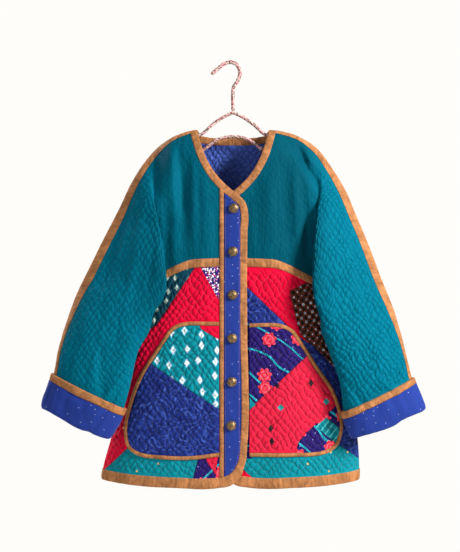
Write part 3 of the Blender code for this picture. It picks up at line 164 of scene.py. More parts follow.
# The same for the front's lower half, where the sleeve hangs flatter beside the body
UNDER_ROUNDNESS = {
    RIGHT: (1.70, 1.15, 0.92, 0.98, 1.50, 1.30, 0.92),
    LEFT: (1.70, 1.15, 0.96, 1.20, 1.50, 1.30, 0.92),
}
CUFF_SECTIONS = 2
BODY_CLEAR = 0.010
SETTLE_FROM = 0.45
PRESSED = {FRONT: (0.0, 0.8, 1.0), BACK: (0.0, 0.0, 0.0, 0.67, 1.0)}
# Folds by side and face: out and z of the top, out and z of the foot, width, height off the cloth
FOLDS = {
    (RIGHT, FRONT): (
        (0.096, -0.205, 0.098, -0.385, 0.016, -0.0075),
        (0.130, -0.190, 0.128, -0.300, 0.016, 0.0060),
        (0.060, -0.270, 0.052, -0.520, 0.020, 0.0035),
        (0.215, -0.285, 0.262, -0.440, 0.013, -0.0055),
        (0.180, -0.330, 0.225, -0.520, 0.014, 0.0040),
        (0.228, -0.560, 0.262, -0.680, 0.014, -0.0035),
    ),
    (LEFT, FRONT): (
        (0.115, -0.165, 0.150, -0.215, 0.014, -0.0110),
        (0.100, -0.215, 0.112, -0.390, 0.015, -0.0055),
        (0.070, -0.240, 0.072, -0.400, 0.018, 0.0035),
        (0.215, -0.330, 0.255, -0.520, 0.016, 0.0040),
        (0.250, -0.430, 0.285, -0.560, 0.012, -0.0040),
    ),
    (RIGHT, BACK): (
        (0.105, -0.190, 0.085, -0.560, 0.022, -0.0070),
        (0.150, -0.220, 0.140, -0.440, 0.018, 0.0055),
        (0.030, -0.330, 0.045, -0.800, 0.026, 0.0045),
        (0.165, -0.560, 0.185, -0.815, 0.022, -0.0050),
    ),
    (LEFT, BACK): (
        (0.110, -0.185, 0.095, -0.600, 0.022, -0.0065),
        (0.150, -0.230, 0.150, -0.430, 0.018, 0.0055),
        (0.040, -0.480, 0.030, -0.810, 0.026, -0.0045),
        (0.175, -0.540, 0.170, -0.815, 0.024, 0.0045),
    ),
}

# Smaller creases that only the dressed cloth has, in the same columns
CREASES = {
    (RIGHT, FRONT): (
        (0.110, -0.172, 0.097, -0.300, 0.0075, -0.0042),
        (0.124, -0.176, 0.114, -0.320, 0.0080, 0.0026),
        (0.140, -0.200, 0.150, -0.300, 0.0080, 0.0020),
        (0.082, -0.205, 0.082, -0.350, 0.0080, 0.0024),
        (0.068, -0.230, 0.066, -0.380, 0.0060, -0.0016),
        (0.036, -0.300, 0.034, -0.395, 0.0060, -0.0010),
        (0.172, -0.240, 0.205, -0.330, 0.0070, -0.0018),
        (0.196, -0.270, 0.232, -0.400, 0.0060, 0.0014),
        (0.205, -0.400, 0.232, -0.560, 0.0070, -0.0018),
        (0.155, -0.360, 0.168, -0.470, 0.0060, -0.0014),
        (0.240, -0.470, 0.282, -0.640, 0.0080, 0.0018),
        (0.305, -0.520, 0.330, -0.630, 0.0070, -0.0014),
        (0.132, -0.280, 0.131, -0.405, 0.0110, -0.0055),
        (0.214, -0.644, 0.250, -0.692, 0.0060, -0.0038),
        (0.210, -0.622, 0.252, -0.670, 0.0070, 0.0026),
        (0.262, -0.555, 0.260, -0.650, 0.0090, -0.0032),
        (0.335, -0.652, 0.296, -0.676, 0.0050, -0.0022),
    ),
    (LEFT, FRONT): (
        (0.132, -0.168, 0.160, -0.236, 0.0075, -0.0115),
        (0.188, -0.220, 0.172, -0.272, 0.0055, 0.0066),
        (0.172, -0.214, 0.160, -0.272, 0.0055, -0.0095),
        (0.148, -0.194, 0.170, -0.196, 0.0045, 0.0034),
        (0.110, -0.170, 0.142, -0.230, 0.0070, 0.0034),
        (0.137, -0.225, 0.147, -0.340, 0.0095, -0.0036),
        (0.122, -0.215, 0.126, -0.345, 0.0060, 0.0018),
        (0.086, -0.260, 0.092, -0.395, 0.0050, -0.0012),
        (0.040, -0.280, 0.042, -0.395, 0.0060, 0.0010),
        (0.190, -0.260, 0.222, -0.400, 0.0070, -0.0016),
        (0.232, -0.300, 0.262, -0.420, 0.0070, 0.0014),
        (0.190, -0.420, 0.215, -0.520, 0.0070, -0.0016),
        (0.262, -0.500, 0.298, -0.640, 0.0080, 0.0018),
        (0.300, -0.500, 0.330, -0.640, 0.0070, -0.0014),
        (0.228, -0.640, 0.262, -0.690, 0.0065, -0.0034),
        (0.290, -0.640, 0.330, -0.662, 0.0060, 0.0024),
        (0.150, -0.300, 0.148, -0.400, 0.0100, -0.0045),
    ),
    (RIGHT, BACK): (
        (0.060, -0.200, 0.056, -0.420, 0.0080, -0.0018),
        (0.128, -0.200, 0.120, -0.380, 0.0070, 0.0016),
        (0.200, -0.300, 0.228, -0.500, 0.0080, -0.0020),
        (0.262, -0.480, 0.300, -0.660, 0.0080, 0.0016),
    ),
    (LEFT, BACK): (
        (0.066, -0.210, 0.058, -0.430, 0.0080, 0.0016),
        (0.130, -0.195, 0.126, -0.400, 0.0070, -0.0018),
        (0.205, -0.310, 0.236, -0.500, 0.0080, -0.0020),
        (0.270, -0.470, 0.305, -0.650, 0.0080, 0.0016),
    ),
}

# Share of a fold's height left at its ends, and the part of a soft wave that it rises over
FOLD_END = 0.35
FOLD_WAVE = (0.08, 0.84)
CRUMPLE_SIZE = (0.034, 0.085)
FINE_CRUMPLE_SIZE = (0.014, 0.034)

# How finely the form is cut: the solids' cells, and the points in each of them here
DENSE = 241
PANEL_ROWS = 12
LOWER_ROWS = 12
SIDE_CELLS = 10
BACK_NECK_OUTS = (0.0, 0.034, 0.060, 0.0775)
NECK_CELLS = len(BACK_NECK_OUTS)
TORSO_CELLS = SIDE_CELLS + 2
SLEEVE_CELLS = 14
CUFF_CELLS = 3
PLACKET_OUTS = (-0.0145, 0.007, 0.028)
TURN_WEIGHT = 0.012
SETTLE_ROWS = 4
SETTLE_REACH = 3
EVEN_SHARE = 0.25
BACK_NECK_SHARE = 0.33
ACROSS = 8
DOWN = 8
DOWN_LOWER = 14
INNER_STRIDE = 2

QUILT_SWING = 0.40
STITCHES_IN_WAVE = 8
FADE_CELLS = 0.4
YOKE_TRIMS = (1.2, 1)
LOWER_TRIMS = (1, 0)
PLAIN_EDGE = {RIGHT: (0.028, 0.004), LEFT: (0.008, 0.008)}
YOKE_PADDING = 0.16
SLEEVE_PADDING = {RIGHT: 0.65, LEFT: 1.0}
BACK_PADDING = 0.7

# Swells of unevenness: height, size both ways and place in the row of seeds
QUILT_DRIFT_ACROSS = ((0.0040, 0.031, 0.024, 0), (0.0030, 0.012, 0.010, 1))
QUILT_DRIFT_DOWN = ((0.0045, 0.026, 0.035, 2), (0.0050, 0.0110, 0.030, 4))
BINDING_WAVE = ((0.00035, 0.05, 1, 0), (0.00018, 0.007, 1, 1))
CUFF_SWELLS = ((0.0022, 0.026, 0.060, 0), (0.0008, 0.009, 0.020, 1))
CUFF_WAVES = ((0.0034, 0.040, 1, 2), (0.0011, 0.013, 1, 3))
PUCKERS = ((1.0, 0.006, 0.009, 0), (0.8, 0.017, 0.020, 1))
PUCKER_RISE = 0.00022
YOKE_PUCKER_RISE = 0.00042
THREAD_LIFT = 0.00005
BAND_STITCHES = 0.80

# Placket, pockets, cuffs
STRIP_EDGE = (
    (-0.2660, 0.0160), (-0.2770, 0.0030), (-0.2885, -0.0095), (-0.3040, -0.0142), (-0.3400, -0.0142),
    (-0.7700, -0.0142), (-0.7930, -0.0112), (-0.8110, -0.0030), (-0.8195, 0.0050), (-0.8255, 0.0160),
)
STRIP_OUT = 0.0175
STRIP_THICKNESS = 0.0014
PIPING_OUT = (0.0181, 0.0268)
PIPING_TOP = -0.2600
PIPING_FOOT = -0.8270
PIPING_THICKNESS = 0.0022
PIPING_PROUD = 0.0012
PIPING_CROWN = 0.5
PLACKET_ROWS = 261
STRIP_COLUMNS = 15
SLANT_ROWS = 12
POCKET_TOP = {
    RIGHT: ((0.0275, -0.521), (0.065, -0.5205), (0.093, -0.5215), (0.1175, -0.5293), (0.128, -0.5385)),
    LEFT: ((0.0325, -0.5245), (0.065, -0.5235), (0.091, -0.5245), (0.112, -0.532), (0.1235, -0.5415)),
}
POCKET_SIDE = {
    RIGHT: ((0.128, -0.5385), (0.1545, -0.5785), (0.1835, -0.6235), (0.1968, -0.6536), (0.2106, -0.697),
            (0.218, -0.740), (0.2125, -0.7700)),
    LEFT: ((0.1235, -0.5415), (0.145, -0.573), (0.172, -0.616), (0.1985, -0.654), (0.213, -0.692),
           (0.2195, -0.735), (0.2105, -0.7655)),
}
POCKET_FOOT = {
    RIGHT: ((0.0275, -0.7865), (0.084, -0.7937), (0.137, -0.7933), (0.185, -0.7885), (0.203, -0.7805),
            (0.2125, -0.7700)),
    LEFT: ((0.0325, -0.7877), (0.084, -0.7880), (0.129, -0.7879), (0.180, -0.7845), (0.200, -0.7765),
           (0.2105, -0.7655)),
}
POCKET_PIPING_WIDTH = 0.008
POCKET_LIFT = 0.0009
POCKET_CELLS = 9
POCKET_ROWS = 10
POCKET_ACROSS = 10
POCKET_DOWN = 12
POCKET_DENSE = 97
POCKET_CLEAR = (0.001, 0.007)

# Sections in shares of the width, or of the cuff's depth up from its fold, and metres off the cloth
BINDING_SECTION = (
    (-0.13, 0.00020), (-0.12, 0.00062), (-0.05, 0.00090), (0.10, 0.00104), (0.30, 0.00108), (0.52, 0.00098),
    (0.74, 0.00066), (0.89, 0.00010), (0.975, -0.00070), (1.0, -0.00130), (0.975, -0.00195),
    (0.88, -0.00280), (0.66, -0.00335), (0.34, -0.00360), (0.04, -0.00362), (-0.13, -0.00340),
    (-0.13, -0.00295), (0.03, -0.00290), (0.03, 0.00008),
)
PIPING_SECTION = (
    (0.05, 0.0), (0.05, 0.6), (0.16, 0.92), (0.40, 1.0), (0.66, 0.95), (0.88, 0.66), (1.0, 0.30),
    (1.0, 0.0),
)
CUFF_SECTION = (
    (0.765, 0.0052), (0.55, 0.0057), (0.35, 0.0054), (0.15, 0.0046), (0.03, 0.0037), (-0.03, 0.0023),
    (-0.058, 0.0001), (-0.066, -0.0022), (-0.055, -0.0046), (-0.03, -0.0060), (0.03, -0.0064),
    (0.09, -0.0062), (0.09, -0.0036), (-0.014, -0.0036), (-0.014, 0.0012), (0.3, 0.0012), (0.765, 0.0012),
)
CUFF_BINDING_SECTION = (
    (0.772, 0.0010), (0.772, 0.0052), (0.788, 0.0063), (0.83, 0.0067), (0.90, 0.0069), (0.955, 0.0066),
    (0.980, 0.0058), (0.988, 0.0040), (0.985, 0.0012),
)
BINDING_EDGE = -0.0012
CUFF_STEP = 0.05
CUFF_DEPTH = 0.068
CUFF_OUTSIDE = 0.002
CUFF_BINDING_OUTSIDE = 0.004
CUFF_STITCHES = ((0.80, 0.0069), (0.962, 0.0069))
CUFF_WAVE_TOP = 0.45
CUFF_WAVE_FADE = 0.4

# Hanger
ROD_RADIUS = 0.0033
HOOK_RADIUS = 0.0039
ARM_END = 0.148
ARM_APEX_Z = -0.0990
ARM_BEND_OUT = 0.068
ARM_POINTS = 13
ARM_RISE = ((0.012, -0.1035), (0.040, -0.1210))
ARM_CLEAR = WALL + 0.0031
ROD_SOLID = 0.0034
NECK_DROP = 0.0032
NECK_EASE = 0.025
ARM_Y = -0.0022
HOOK_PATH = (
    (-0.0445, -0.0205), (-0.030, -0.0085), (-0.016, 0.0020), (-0.004, 0.0043), (0.006, 0.0005),
    (0.0125, -0.0095), (0.0135, -0.022), (0.009, -0.0345), (0.002, -0.0450), (-0.0005, -0.060), (0.0, -0.080),
)
HOOK_FOOT_GAP = 0.0004
BAR_BELOW_ARM = 0.0060
BAR_INSIDE_ARM = 0.003
BAR_PATH = (
    (0.0, -0.1470), (0.026, -0.1510), (0.059, -0.1730), (0.090, -0.1960), (0.120, -0.2150), (0.142, -0.2220),
    (0.1500, -0.2130),
)
WRAP_PITCH = 0.0085
WRAP_STEP = 0.0008
WRAP_OVERLAP = 0.85
ROD_STEPS = 16
KNOB_PLACE = (0.0575, ARM_Y - 0.0028, -0.1722)
KNOB_RADIUS = 0.0046
KNOB_HALF = 0.0042

BUTTON_COUNT = 6
BUTTON_TOP = 0.0079
BUTTON_STEPS = 32
BUTTON_PROFILE = (
    (0.0016, 0.00785), (0.0034, 0.00755), (0.0052, 0.00690), (0.0068, 0.00590), (0.0079, 0.00465),
    (0.0083, 0.00380), (0.0085, 0.00355), (0.0089, 0.00360), (0.0094, 0.00320), (0.0095, 0.00265),
    (0.0093, 0.00210), (0.0086, 0.00165), (0.0060, 0.00150), (0.0034, 0.00145), (0.0031, 0.00090),
    (0.0032, 0.0),
)

# Patches: the cloth under each, then straight-edged patches laid on it in turn, corners in x and z
PATCHES = {
    "lower_front_right": ("red", (
        ("sprig_dark", ((-0.290, -0.380), (-0.070, -0.395), (-0.070, -0.405), (-0.152, -0.527),
                        (-0.290, -0.620))),
        ("confetti", ((-0.010, -0.385), (-0.010, -0.476), (-0.030, -0.476), (-0.080, -0.385))),
        ("teal_patch", ((-0.290, -0.862), (-0.256, -0.8175), (-0.206, -0.7695), (-0.180, -0.745),
                        (-0.050, -0.745),
                        (-0.088, -0.862))),
        ("navy_print", ((-0.088, -0.862), (-0.066, -0.780), (0.03, -0.780), (0.03, -0.862))),
        ("coral", ((-0.062, -0.780), (-0.036, -0.822), (-0.028, -0.780))),
        ("royal", ((-0.019, -0.380), (-0.019, -0.870), (0.050, -0.870), (0.050, -0.380))),
    )),
    "pocket_right": ("batik", (
        ("sprig_teal", ((-0.240, -0.5555), (-0.240, -0.480), (0.0, -0.480), (0.0, -0.7195), (-0.104, -0.650),
                        (-0.162, -0.606))),
        ("red", ((-0.076, -0.500), (-0.064, -0.5345), (0.01, -0.578), (0.01, -0.500))),
    )),
    "lower_front_left": ("red", (
        ("batik", ((0.0, -0.426), (0.031, -0.4555), (0.100, -0.521), (0.130, -0.550), (0.0, -0.550))),
        ("brown_print", ((0.112, -0.461), (0.172, -0.430), (0.240, -0.480), (0.225, -0.640),
                         (0.134, -0.546))),
        ("batik", ((0.126, -0.548), (0.160, -0.5695), (0.203, -0.6125), (0.290, -0.700), (0.290, -0.842),
                   (0.140, -0.700))),
        ("teal_patch", ((-0.020, -0.752), (0.192, -0.752), (0.245, -0.7915), (0.290, -0.825), (0.290, -0.870),
                        (-0.020, -0.870))),
        ("red", ((-0.020, -0.800), (0.012, -0.808), (0.036, -0.828), (0.03, -0.870), (-0.02, -0.870))),
        # Painted shadow: a dark navy strip under the pocket's inner edge, so the sliver beside the pocket
        # reads as a shadow gap
        ("navy_print", ((0.0, -0.520), (0.036, -0.520), (0.036, -0.792), (0.0, -0.792))),
    )),
    "pocket_left": ("coral", (
        ("navy_print", ((0.0, -0.500), (0.240, -0.500), (0.144, -0.592), (0.075, -0.655), (0.032, -0.693),
                        (0.0, -0.722))),
        ("teal_patch", ((0.0, -0.655), (0.031, -0.667), (0.045, -0.685), (0.0, -0.722))),
        ("navy_print", ((0.118, -0.800), (0.129, -0.760), (0.141, -0.744), (0.205, -0.690),
                        (0.250, -0.652), (0.250, -0.800))),
        ("stripe_teal", ((0.163, -0.729), (0.186, -0.712), (0.250, -0.762), (0.250, -0.800))),
    )),
    "lower_back": ("red", (
        ("batik", ((-0.290, -0.380), (-0.020, -0.380), (-0.150, -0.560), (-0.290, -0.620))),
        ("teal_patch", ((0.020, -0.380), (0.300, -0.380), (0.300, -0.520), (0.105, -0.610))),
        ("coral", ((0.105, -0.610), (0.300, -0.520), (0.300, -0.760), (0.150, -0.720))),
        ("navy_print", ((-0.150, -0.560), (-0.055, -0.500), (0.040, -0.610), (-0.040, -0.690))),
        ("brown_print", ((-0.290, -0.660), (-0.150, -0.600), (-0.105, -0.700), (-0.290, -0.760))),
        ("teal_patch", ((-0.290, -0.870), (-0.290, -0.790), (-0.060, -0.735), (0.010, -0.870))),
        ("batik", ((0.010, -0.870), (0.075, -0.740), (0.300, -0.800), (0.300, -0.870))),
    )),
}

# Finishes
SHEEN_SPREAD = 0.35
CLOTH_GLOSS = 0.05
TEAL_GLOSS = 0.02
METAL_GLOSS = 0.5
WEAVE_RISE = 0.00006
RIB_PITCH = 0.0011
SEAM_BLUR = 0.00015
SEAM_WANDER = 0.0008
DIAMOND_BLUR = 0.0005

# Camera, floor and light: name, place, size, power and colour of each lamp
SENSOR = 36.0
CAMERA_DISTANCE = 2.5
VIEW_HEIGHT = 1.122768
VIEW_X = -0.0061
VIEW_Z = -0.4302
FLOOR_RADIUS = 1.3
FLOOR_Z = -1.30
FLOOR_STEPS = 64
LIT_PLACE = (0, 0, -0.42)
LIGHTS = (
    ("key_light", (2.4, -1.45, 0.9), 0.7, 205.0, (1.0, 0.97, 0.92)),
    ("fill_light", (-1.9, -1.9, 0.1), 1.4, 20.0, (0.93, 0.96, 1.0)),
    ("back_light", (-2.1, 1.7, 0.9), 1.2, 80.0, (1.0, 0.98, 0.95)),
)
ROOM_LIGHT = 0.30
ROOM_COLOUR = (1.0, 0.985, 0.955, 1)
DOWNWARDS = np.array([0.0, 0.0, -1.0])


def linear(code):
    """A colour from its usual six-figure code, as the shader's own numbers."""
    parts = [int(code[index:index + 2], 16) / 255 for index in (0, 2, 4)]
    return tuple(part / 12.92 if part <= 0.04045 else ((part + 0.055) / 1.055) ** 2.4 for part in parts)


def colour_setting(name, code):
    return bpy.props.FloatVectorProperty(
        name=name, description=f"Colour of the {name.lower()}", subtype="COLOR", size=3, min=0, max=1,
        default=linear(code),
    )


def length_setting(name, description, default, low, high):
    return bpy.props.FloatProperty(
        name=name, description=description, default=default, min=low, max=high, unit="LENGTH",
    )


class JacketSettings(bpy.types.PropertyGroup):
    """Sizes and colours that can be changed."""

    quilt_width: length_setting(
        "Quilting width", "Distance between the wavy lines of quilting", 0.0072, 0.004, 0.03,
    )
    quilt_length: length_setting("Quilting length", "Length of one wave of quilting", 0.0180, 0.008, 0.06)
    quilt_rise: length_setting(
        "Quilting rise", "How far the padding stands up between lines", 0.0019, 0.0, 0.004,
    )
    crumple: length_setting(
        "Crumple", "Height of the soft unevenness of the hanging cloth", 0.0011, 0.0, 0.004,
    )
    stitch_length: length_setting("Stitch length", "Length of a stitch along the trim", 0.0026, 0.001, 0.006)
    stitch_pitch: length_setting("Stitch pitch", "Distance from one stitch to the next", 0.0034, 0.0015, 0.01)
    stitch_width: length_setting("Thread width", "Thickness of the sewing thread", 0.00045, 0.0002, 0.001)
    teal: colour_setting("Yoke and sleeves", "00627a")
    teal_patch: colour_setting("Teal patches", "007c8c")
    teal_dark: colour_setting("Shaded teal patch", "0a3f52")
    red: colour_setting("Red patches", "d50434")
    coral: colour_setting("Coral patches", "cc1c3c")
    royal: colour_setting("Placket and cuffs", "203584")
    batik: colour_setting("Batik patches", "1b2f7c")
    navy: colour_setting("Navy print", "231660")
    lining: colour_setting("Lining", "4058ad")
    tan: colour_setting("Bindings and bands", "a36e46")
    brass: colour_setting("Buttons", "927a5a")
    calico: colour_setting("Hanger wrapping", "cdb9b0")


def table(rows):
    """The columns of a table, as arrays."""
    return [np.array(column) for column in zip(*rows)]


def smooth(knots, values, at):
    """Values between the knots, on a curve without corners."""
    knots = np.asarray(knots, float)
    values = np.asarray(values, float)
    at = np.clip(np.asarray(at, float), knots[0], knots[-1])
    slopes = np.gradient(values, knots, axis=0)
    index = np.clip(np.searchsorted(knots, at, side="right") - 1, 0, len(knots) - 2)
    width = knots[index + 1] - knots[index]
    share = (at - knots[index]) / width
    if values.ndim > 1:
        extra = (...,) + (None,) * (values.ndim - 1)
        share = share[extra]
        width = width[extra]
    return (
        (1 + 2 * share) * (1 - share) ** 2 * values[index]
        + share * (1 - share) ** 2 * width * slopes[index]
        + share**2 * (3 - 2 * share) * values[index + 1]
        + share**2 * (share - 1) * width * slopes[index + 1]
    )


def ease(share):
    """A soft step from 0 to 1."""
    share = np.clip(share, 0, 1)
    return share * share * (3 - 2 * share)


def unit(vectors):
    return vectors / np.maximum(np.linalg.norm(vectors, axis=-1, keepdims=True), 1e-12)


def lengths(points):
    """Distances along a line of points, from its start."""
    return np.concatenate([[0], np.cumsum(np.linalg.norm(np.diff(points, axis=0), axis=1))])


def along(points, count):
    """Points at even distances on a smooth line through the given ones."""
    points = np.asarray(points, float)
    steps = lengths(points)
    fine_line = smooth(steps, points, np.linspace(0, steps[-1], 20 * len(points)))
    reach = lengths(fine_line)
    places = np.linspace(0, reach[-1], count)
    return np.stack([np.interp(places, reach, part) for part in fine_line.T], axis=-1)


def finer(values, cells):
    """The same values with more of them between each pair, on a smooth curve."""
    count = len(values)
    return smooth(np.arange(count), values, np.linspace(0, count - 1, (count - 1) * cells + 1))


def soft_noise(u, v, size_u, size_v, seed):
    """Smooth unevenness from about -1 to 1, with the given size of its swells."""
    cells = 64
    heights = np.random.default_rng(seed).uniform(-1, 1, (cells, cells))
    at_u, at_v = np.asarray(u) / size_u + 31.7, np.asarray(v) / size_v + 17.3
    low_u, low_v = np.floor(at_u).astype(int), np.floor(at_v).astype(int)
    share_u, share_v = ease(at_u - low_u), ease(at_v - low_v)
    total = 0
    for add_u, weight_u in ((0, 1 - share_u), (1, share_u)):
        for add_v, weight_v in ((0, 1 - share_v), (1, share_v)):
            total = total + weight_u * weight_v * heights[(low_u + add_u) % cells, (low_v + add_v) % cells]
    return total


def uneven(u, v, swells, seed):
    """Smooth unevenness of several sizes together."""
    return sum(height * soft_noise(u, v, size_u, size_v, seed + step)
               for height, size_u, size_v, step in swells)


def stacked(*parts):
    """Arrays that are brought to one shape and joined as the parts of each place."""
    return np.stack(np.broadcast_arrays(*parts), axis=-1)


def half_width(side, z):
    heights, right, left, _, _ = table(BODY)
    return smooth(-heights, right if side == RIGHT else left, -np.asarray(z))


def depth(face, z):
    heights, _, _, front, back = table(BODY)
    return smooth(-heights, front if face == FRONT else back, -np.asarray(z))


def shoulder_z(side, out):
    outs, heights = table(SHOULDER[side])
    return smooth(outs, heights, np.clip(out, 0, outs[-1]))


def folds(side, face, out, z):
    """How far folds, creases and crumple lift the cloth at a place."""
    total = np.zeros(np.broadcast(out, z).shape)
    for top_out, top_z, low_out, low_z, width, height in FOLDS[side, face] + CREASES[side, face]:
        run = np.array([low_out - top_out, low_z - top_z])
        share = ((out - top_out) * run[0] + (z - top_z) * run[1]) / (run @ run)
        held = np.clip(share, 0, 1)
        away = np.hypot(out - top_out - held * run[0], z - top_z - held * run[1])
        wave = np.sin(math.pi * np.clip(FOLD_WAVE[0] + FOLD_WAVE[1] * held, 0, 1))
        fade = FOLD_END + (1 - FOLD_END) * wave
        total = total + height * fade * np.exp(-((away / width) ** 2))
    seed = 10 * (side + 2) + face
    crumple = bpy.context.scene.jacket.crumple
    total = total + crumple * soft_noise(side * out, z, *CRUMPLE_SIZE, seed)
    return total + 0.5 * crumple * soft_noise(side * out + 0.2 * z, z, *FINE_CRUMPLE_SIZE, seed + 3)


def body_y(side, face, out, z):
    """Where the body's front or back cloth lies at a place."""
    round_share = np.clip(np.abs(out) / half_width(side, z), 0, 1)
    across = np.sqrt(np.maximum(1 - round_share**BODY_SQUARENESS, 0))
    fall = np.clip((shoulder_z(side, np.abs(out)) - z) / SHOULDER_ROUND, 0, 1)
    top = np.sqrt(1 - (1 - fall) ** 2)
    stand = depth(face, z) * across * top + folds(side, face, out, z) * across * top
    y = face * stand
    if face == FRONT and side == LEFT:
        y = y + LAP_DROP * (1 - ease((out - LAP_OUT) / LAP_EASE)) * ease((LAP_TOP - z) / LAP_RISE)
    return y


def sleeve_section(side, number, face, turn):
    """A half section of the sleeve, from its top seam to its under seam, as out, y and z."""
    row = SLEEVE[side][number]
    top_out, top_z, top_y, under_out, under_z, under_y = row[:6]
    share, ridge_out, ridge_y = row[6:9] if face == FRONT else row[9:12]
    top = np.array([top_out, top_y, top_z])
    under = np.array([under_out, under_y, under_z])
    middle = top + share * (under - top)
    ridge = np.array([ridge_out, ridge_y, middle[2]])
    power = SLEEVE_ROUNDNESS[face][min(number, len(SLEEVE_ROUNDNESS[face]) - 1)]
    if face == FRONT:
        under_power = UNDER_ROUNDNESS[side][min(number, len(UNDER_ROUNDNESS[side]) - 1)]
        power = np.where(turn < math.pi / 2, power, under_power)[:, None]
    rise = np.abs(np.cos(turn))[:, None] ** power
    stand = np.abs(np.sin(turn))[:, None] ** power
    end = np.where((turn < math.pi / 2)[:, None], top, under)
    return middle + (end - middle) * rise + (ridge - middle) * stand


def patch(top, foot, inner, outer):
    """Columns between two side lines, from a top line to a foot line, all in out and z."""
    drop = np.linspace(0, 1, len(inner))[None, :, None]
    share = np.linspace(0, 1, len(top))[:, None, None]
    flat_inner = (1 - drop) * inner[0] + drop * inner[-1]
    flat_outer = (1 - drop) * outer[0] + drop * outer[-1]
    straight = (1 - drop) * top[:, None, :] + drop * foot[:, None, :]
    return straight + (1 - share) * (inner[None] - flat_inner) + share * (outer[None] - flat_outer)


def side_outs(start, end, cells):
    """Places from one to the other that close up towards the side seam, where the cloth turns."""
    share = np.linspace(0, 1, cells + 1)
    return start + (end - start) * (EVEN_SHARE * share + (1 - EVEN_SHARE) * np.sin(share * math.pi / 2))


def front_outs(end):
    return np.concatenate([PLACKET_OUTS[:-1], side_outs(PLACKET_OUTS[-1], end, SIDE_CELLS)])


def back_outs(end):
    first = end * BACK_NECK_SHARE
    return np.concatenate([
        np.linspace(0, first, NECK_CELLS + 1)[:-1],
        side_outs(first, end, TORSO_CELLS),
    ])


def with_y(side, flat, y):
    """Points from out and z, with the front and back at their y."""
    return stacked(side * flat[..., 0], y, flat[..., 1])


def on_line(rows, outs):
    line_outs, heights = table(rows)
    return stacked(outs, smooth(line_outs, heights, outs))


def torso(side, face):
    """The yoke of one side, from its middle to the armhole, before it is cut into rows."""
    hole = sleeve_section(side, 0, face, np.linspace(0, math.pi, DENSE))
    shoulder = np.linspace(NECK_POINT, SHOULDER_POINT[side], TORSO_CELLS + 1)
    if face == FRONT:
        inner = along(FRONT_EDGE, DENSE)
        outs = finer(shoulder, ACROSS)
        top = stacked(outs, shoulder_z(side, outs))
        foot = on_line(YOKE, finer(front_outs(UNDERARM_OUT), ACROSS))
    else:
        outs = finer(np.concatenate([BACK_NECK_OUTS, shoulder]), ACROSS)
        neck = on_line(BACK_NECK, outs[:NECK_CELLS * ACROSS])
        rest = outs[NECK_CELLS * ACROSS:]
        top = np.concatenate([neck, stacked(rest, shoulder_z(side, rest))])
        foot = on_line(YOKE, finer(back_outs(UNDERARM_OUT), ACROSS))
        inner = np.linspace(top[0], foot[0], DENSE)
    inner[0] = top[0]
    inner[-1] = foot[0]
    flat = patch(top, foot, inner, hole[:, [0, 2]])
    y = body_y(side, face, flat[..., 0], flat[..., 1])
    missing = hole[:, 1] - body_y(side, face, hole[:, 0], hole[:, 2])
    shares = np.linspace(0, 1, len(top))
    y = y + missing[None] * ease((shares - SETTLE_FROM) / (1 - SETTLE_FROM))[:, None]
    return with_y(side, flat, y)


def clear_of_body(side, points, strength):
    """Keeps the hanging sleeve a little in front of the body that it covers."""
    out = side * points[..., 0]
    z = points[..., 2]
    beyond = np.clip(out - half_width(side, z) - BODY_CLEAR / 3, 0, 1)
    most = body_y(side, FRONT, np.minimum(out, half_width(side, z)), z) - BODY_CLEAR + 6 * beyond
    pressed = np.minimum(points[..., 1], most)
    moved = points.copy()
    moved[..., 1] += strength * (pressed - points[..., 1])
    return moved


def sleeve(side, face, ghost):
    """The sleeve's front or back, from the armhole to its folded end, before it is cut into rows."""
    turn = np.linspace(0, math.pi, DENSE)
    rings = []
    for number in range(len(SLEEVE[side])):
        ring = sleeve_section(side, number, face, turn) * (side, 1, 1)
        ring = clear_of_body(side, ring, PRESSED[face][min(number, len(PRESSED[face]) - 1)])
        rings.append(ring)
    rings = np.array([ghost] + rings)
    steps = np.linalg.norm(np.diff(rings, axis=0), axis=2).mean(axis=1)
    reach = np.concatenate([[-steps[0], 0], np.cumsum(steps[1:])])
    cuff_top = reach[len(reach) - CUFF_SECTIONS]
    places = np.concatenate([
        np.linspace(0, cuff_top, SLEEVE_CELLS * ACROSS + 1),
        np.linspace(cuff_top, reach[-1], CUFF_CELLS * ACROSS + 1)[1:],
    ])
    columns = smooth(reach, rings, places)
    lift = folds(side, face, side * columns[..., 0], columns[..., 2]) * np.sin(turn) ** 0.5
    number = np.interp(places, reach[1:], np.arange(len(rings) - 1))
    lifted = columns.copy()
    lifted[..., 1] += face * lift * np.clip(number / 2, 0, 1)[:, None]
    strength = np.interp(number, np.arange(len(PRESSED[face])), PRESSED[face])[:, None]
    return clear_of_body(side, lifted, strength)


def rows_of(column, first, last, count, cells):
    """Cuts a column into rows: one at each given distance from its ends, the rest between, then finer."""
    reach = lengths(column)
    ways = unit(np.diff(column, axis=0))
    bends = np.arccos(np.clip((ways[1:] * ways[:-1]).sum(axis=1), -1, 1))
    weight = reach + TURN_WEIGHT * np.concatenate([[0], np.cumsum(bends), [bends.sum()]])
    start, end = np.interp([first, reach[-1] - last], reach, weight)
    places = np.concatenate([[0], np.interp(np.linspace(start, end, count - 1), weight, reach)])
    if last:
        places = np.concatenate([places, [reach[-1]]])
    cuts = len(places) - 1
    at = np.interp(np.linspace(0, cuts, cuts * cells + 1), np.arange(cuts + 1), places)
    return stacked(*[np.interp(at, reach, part) for part in column.T])


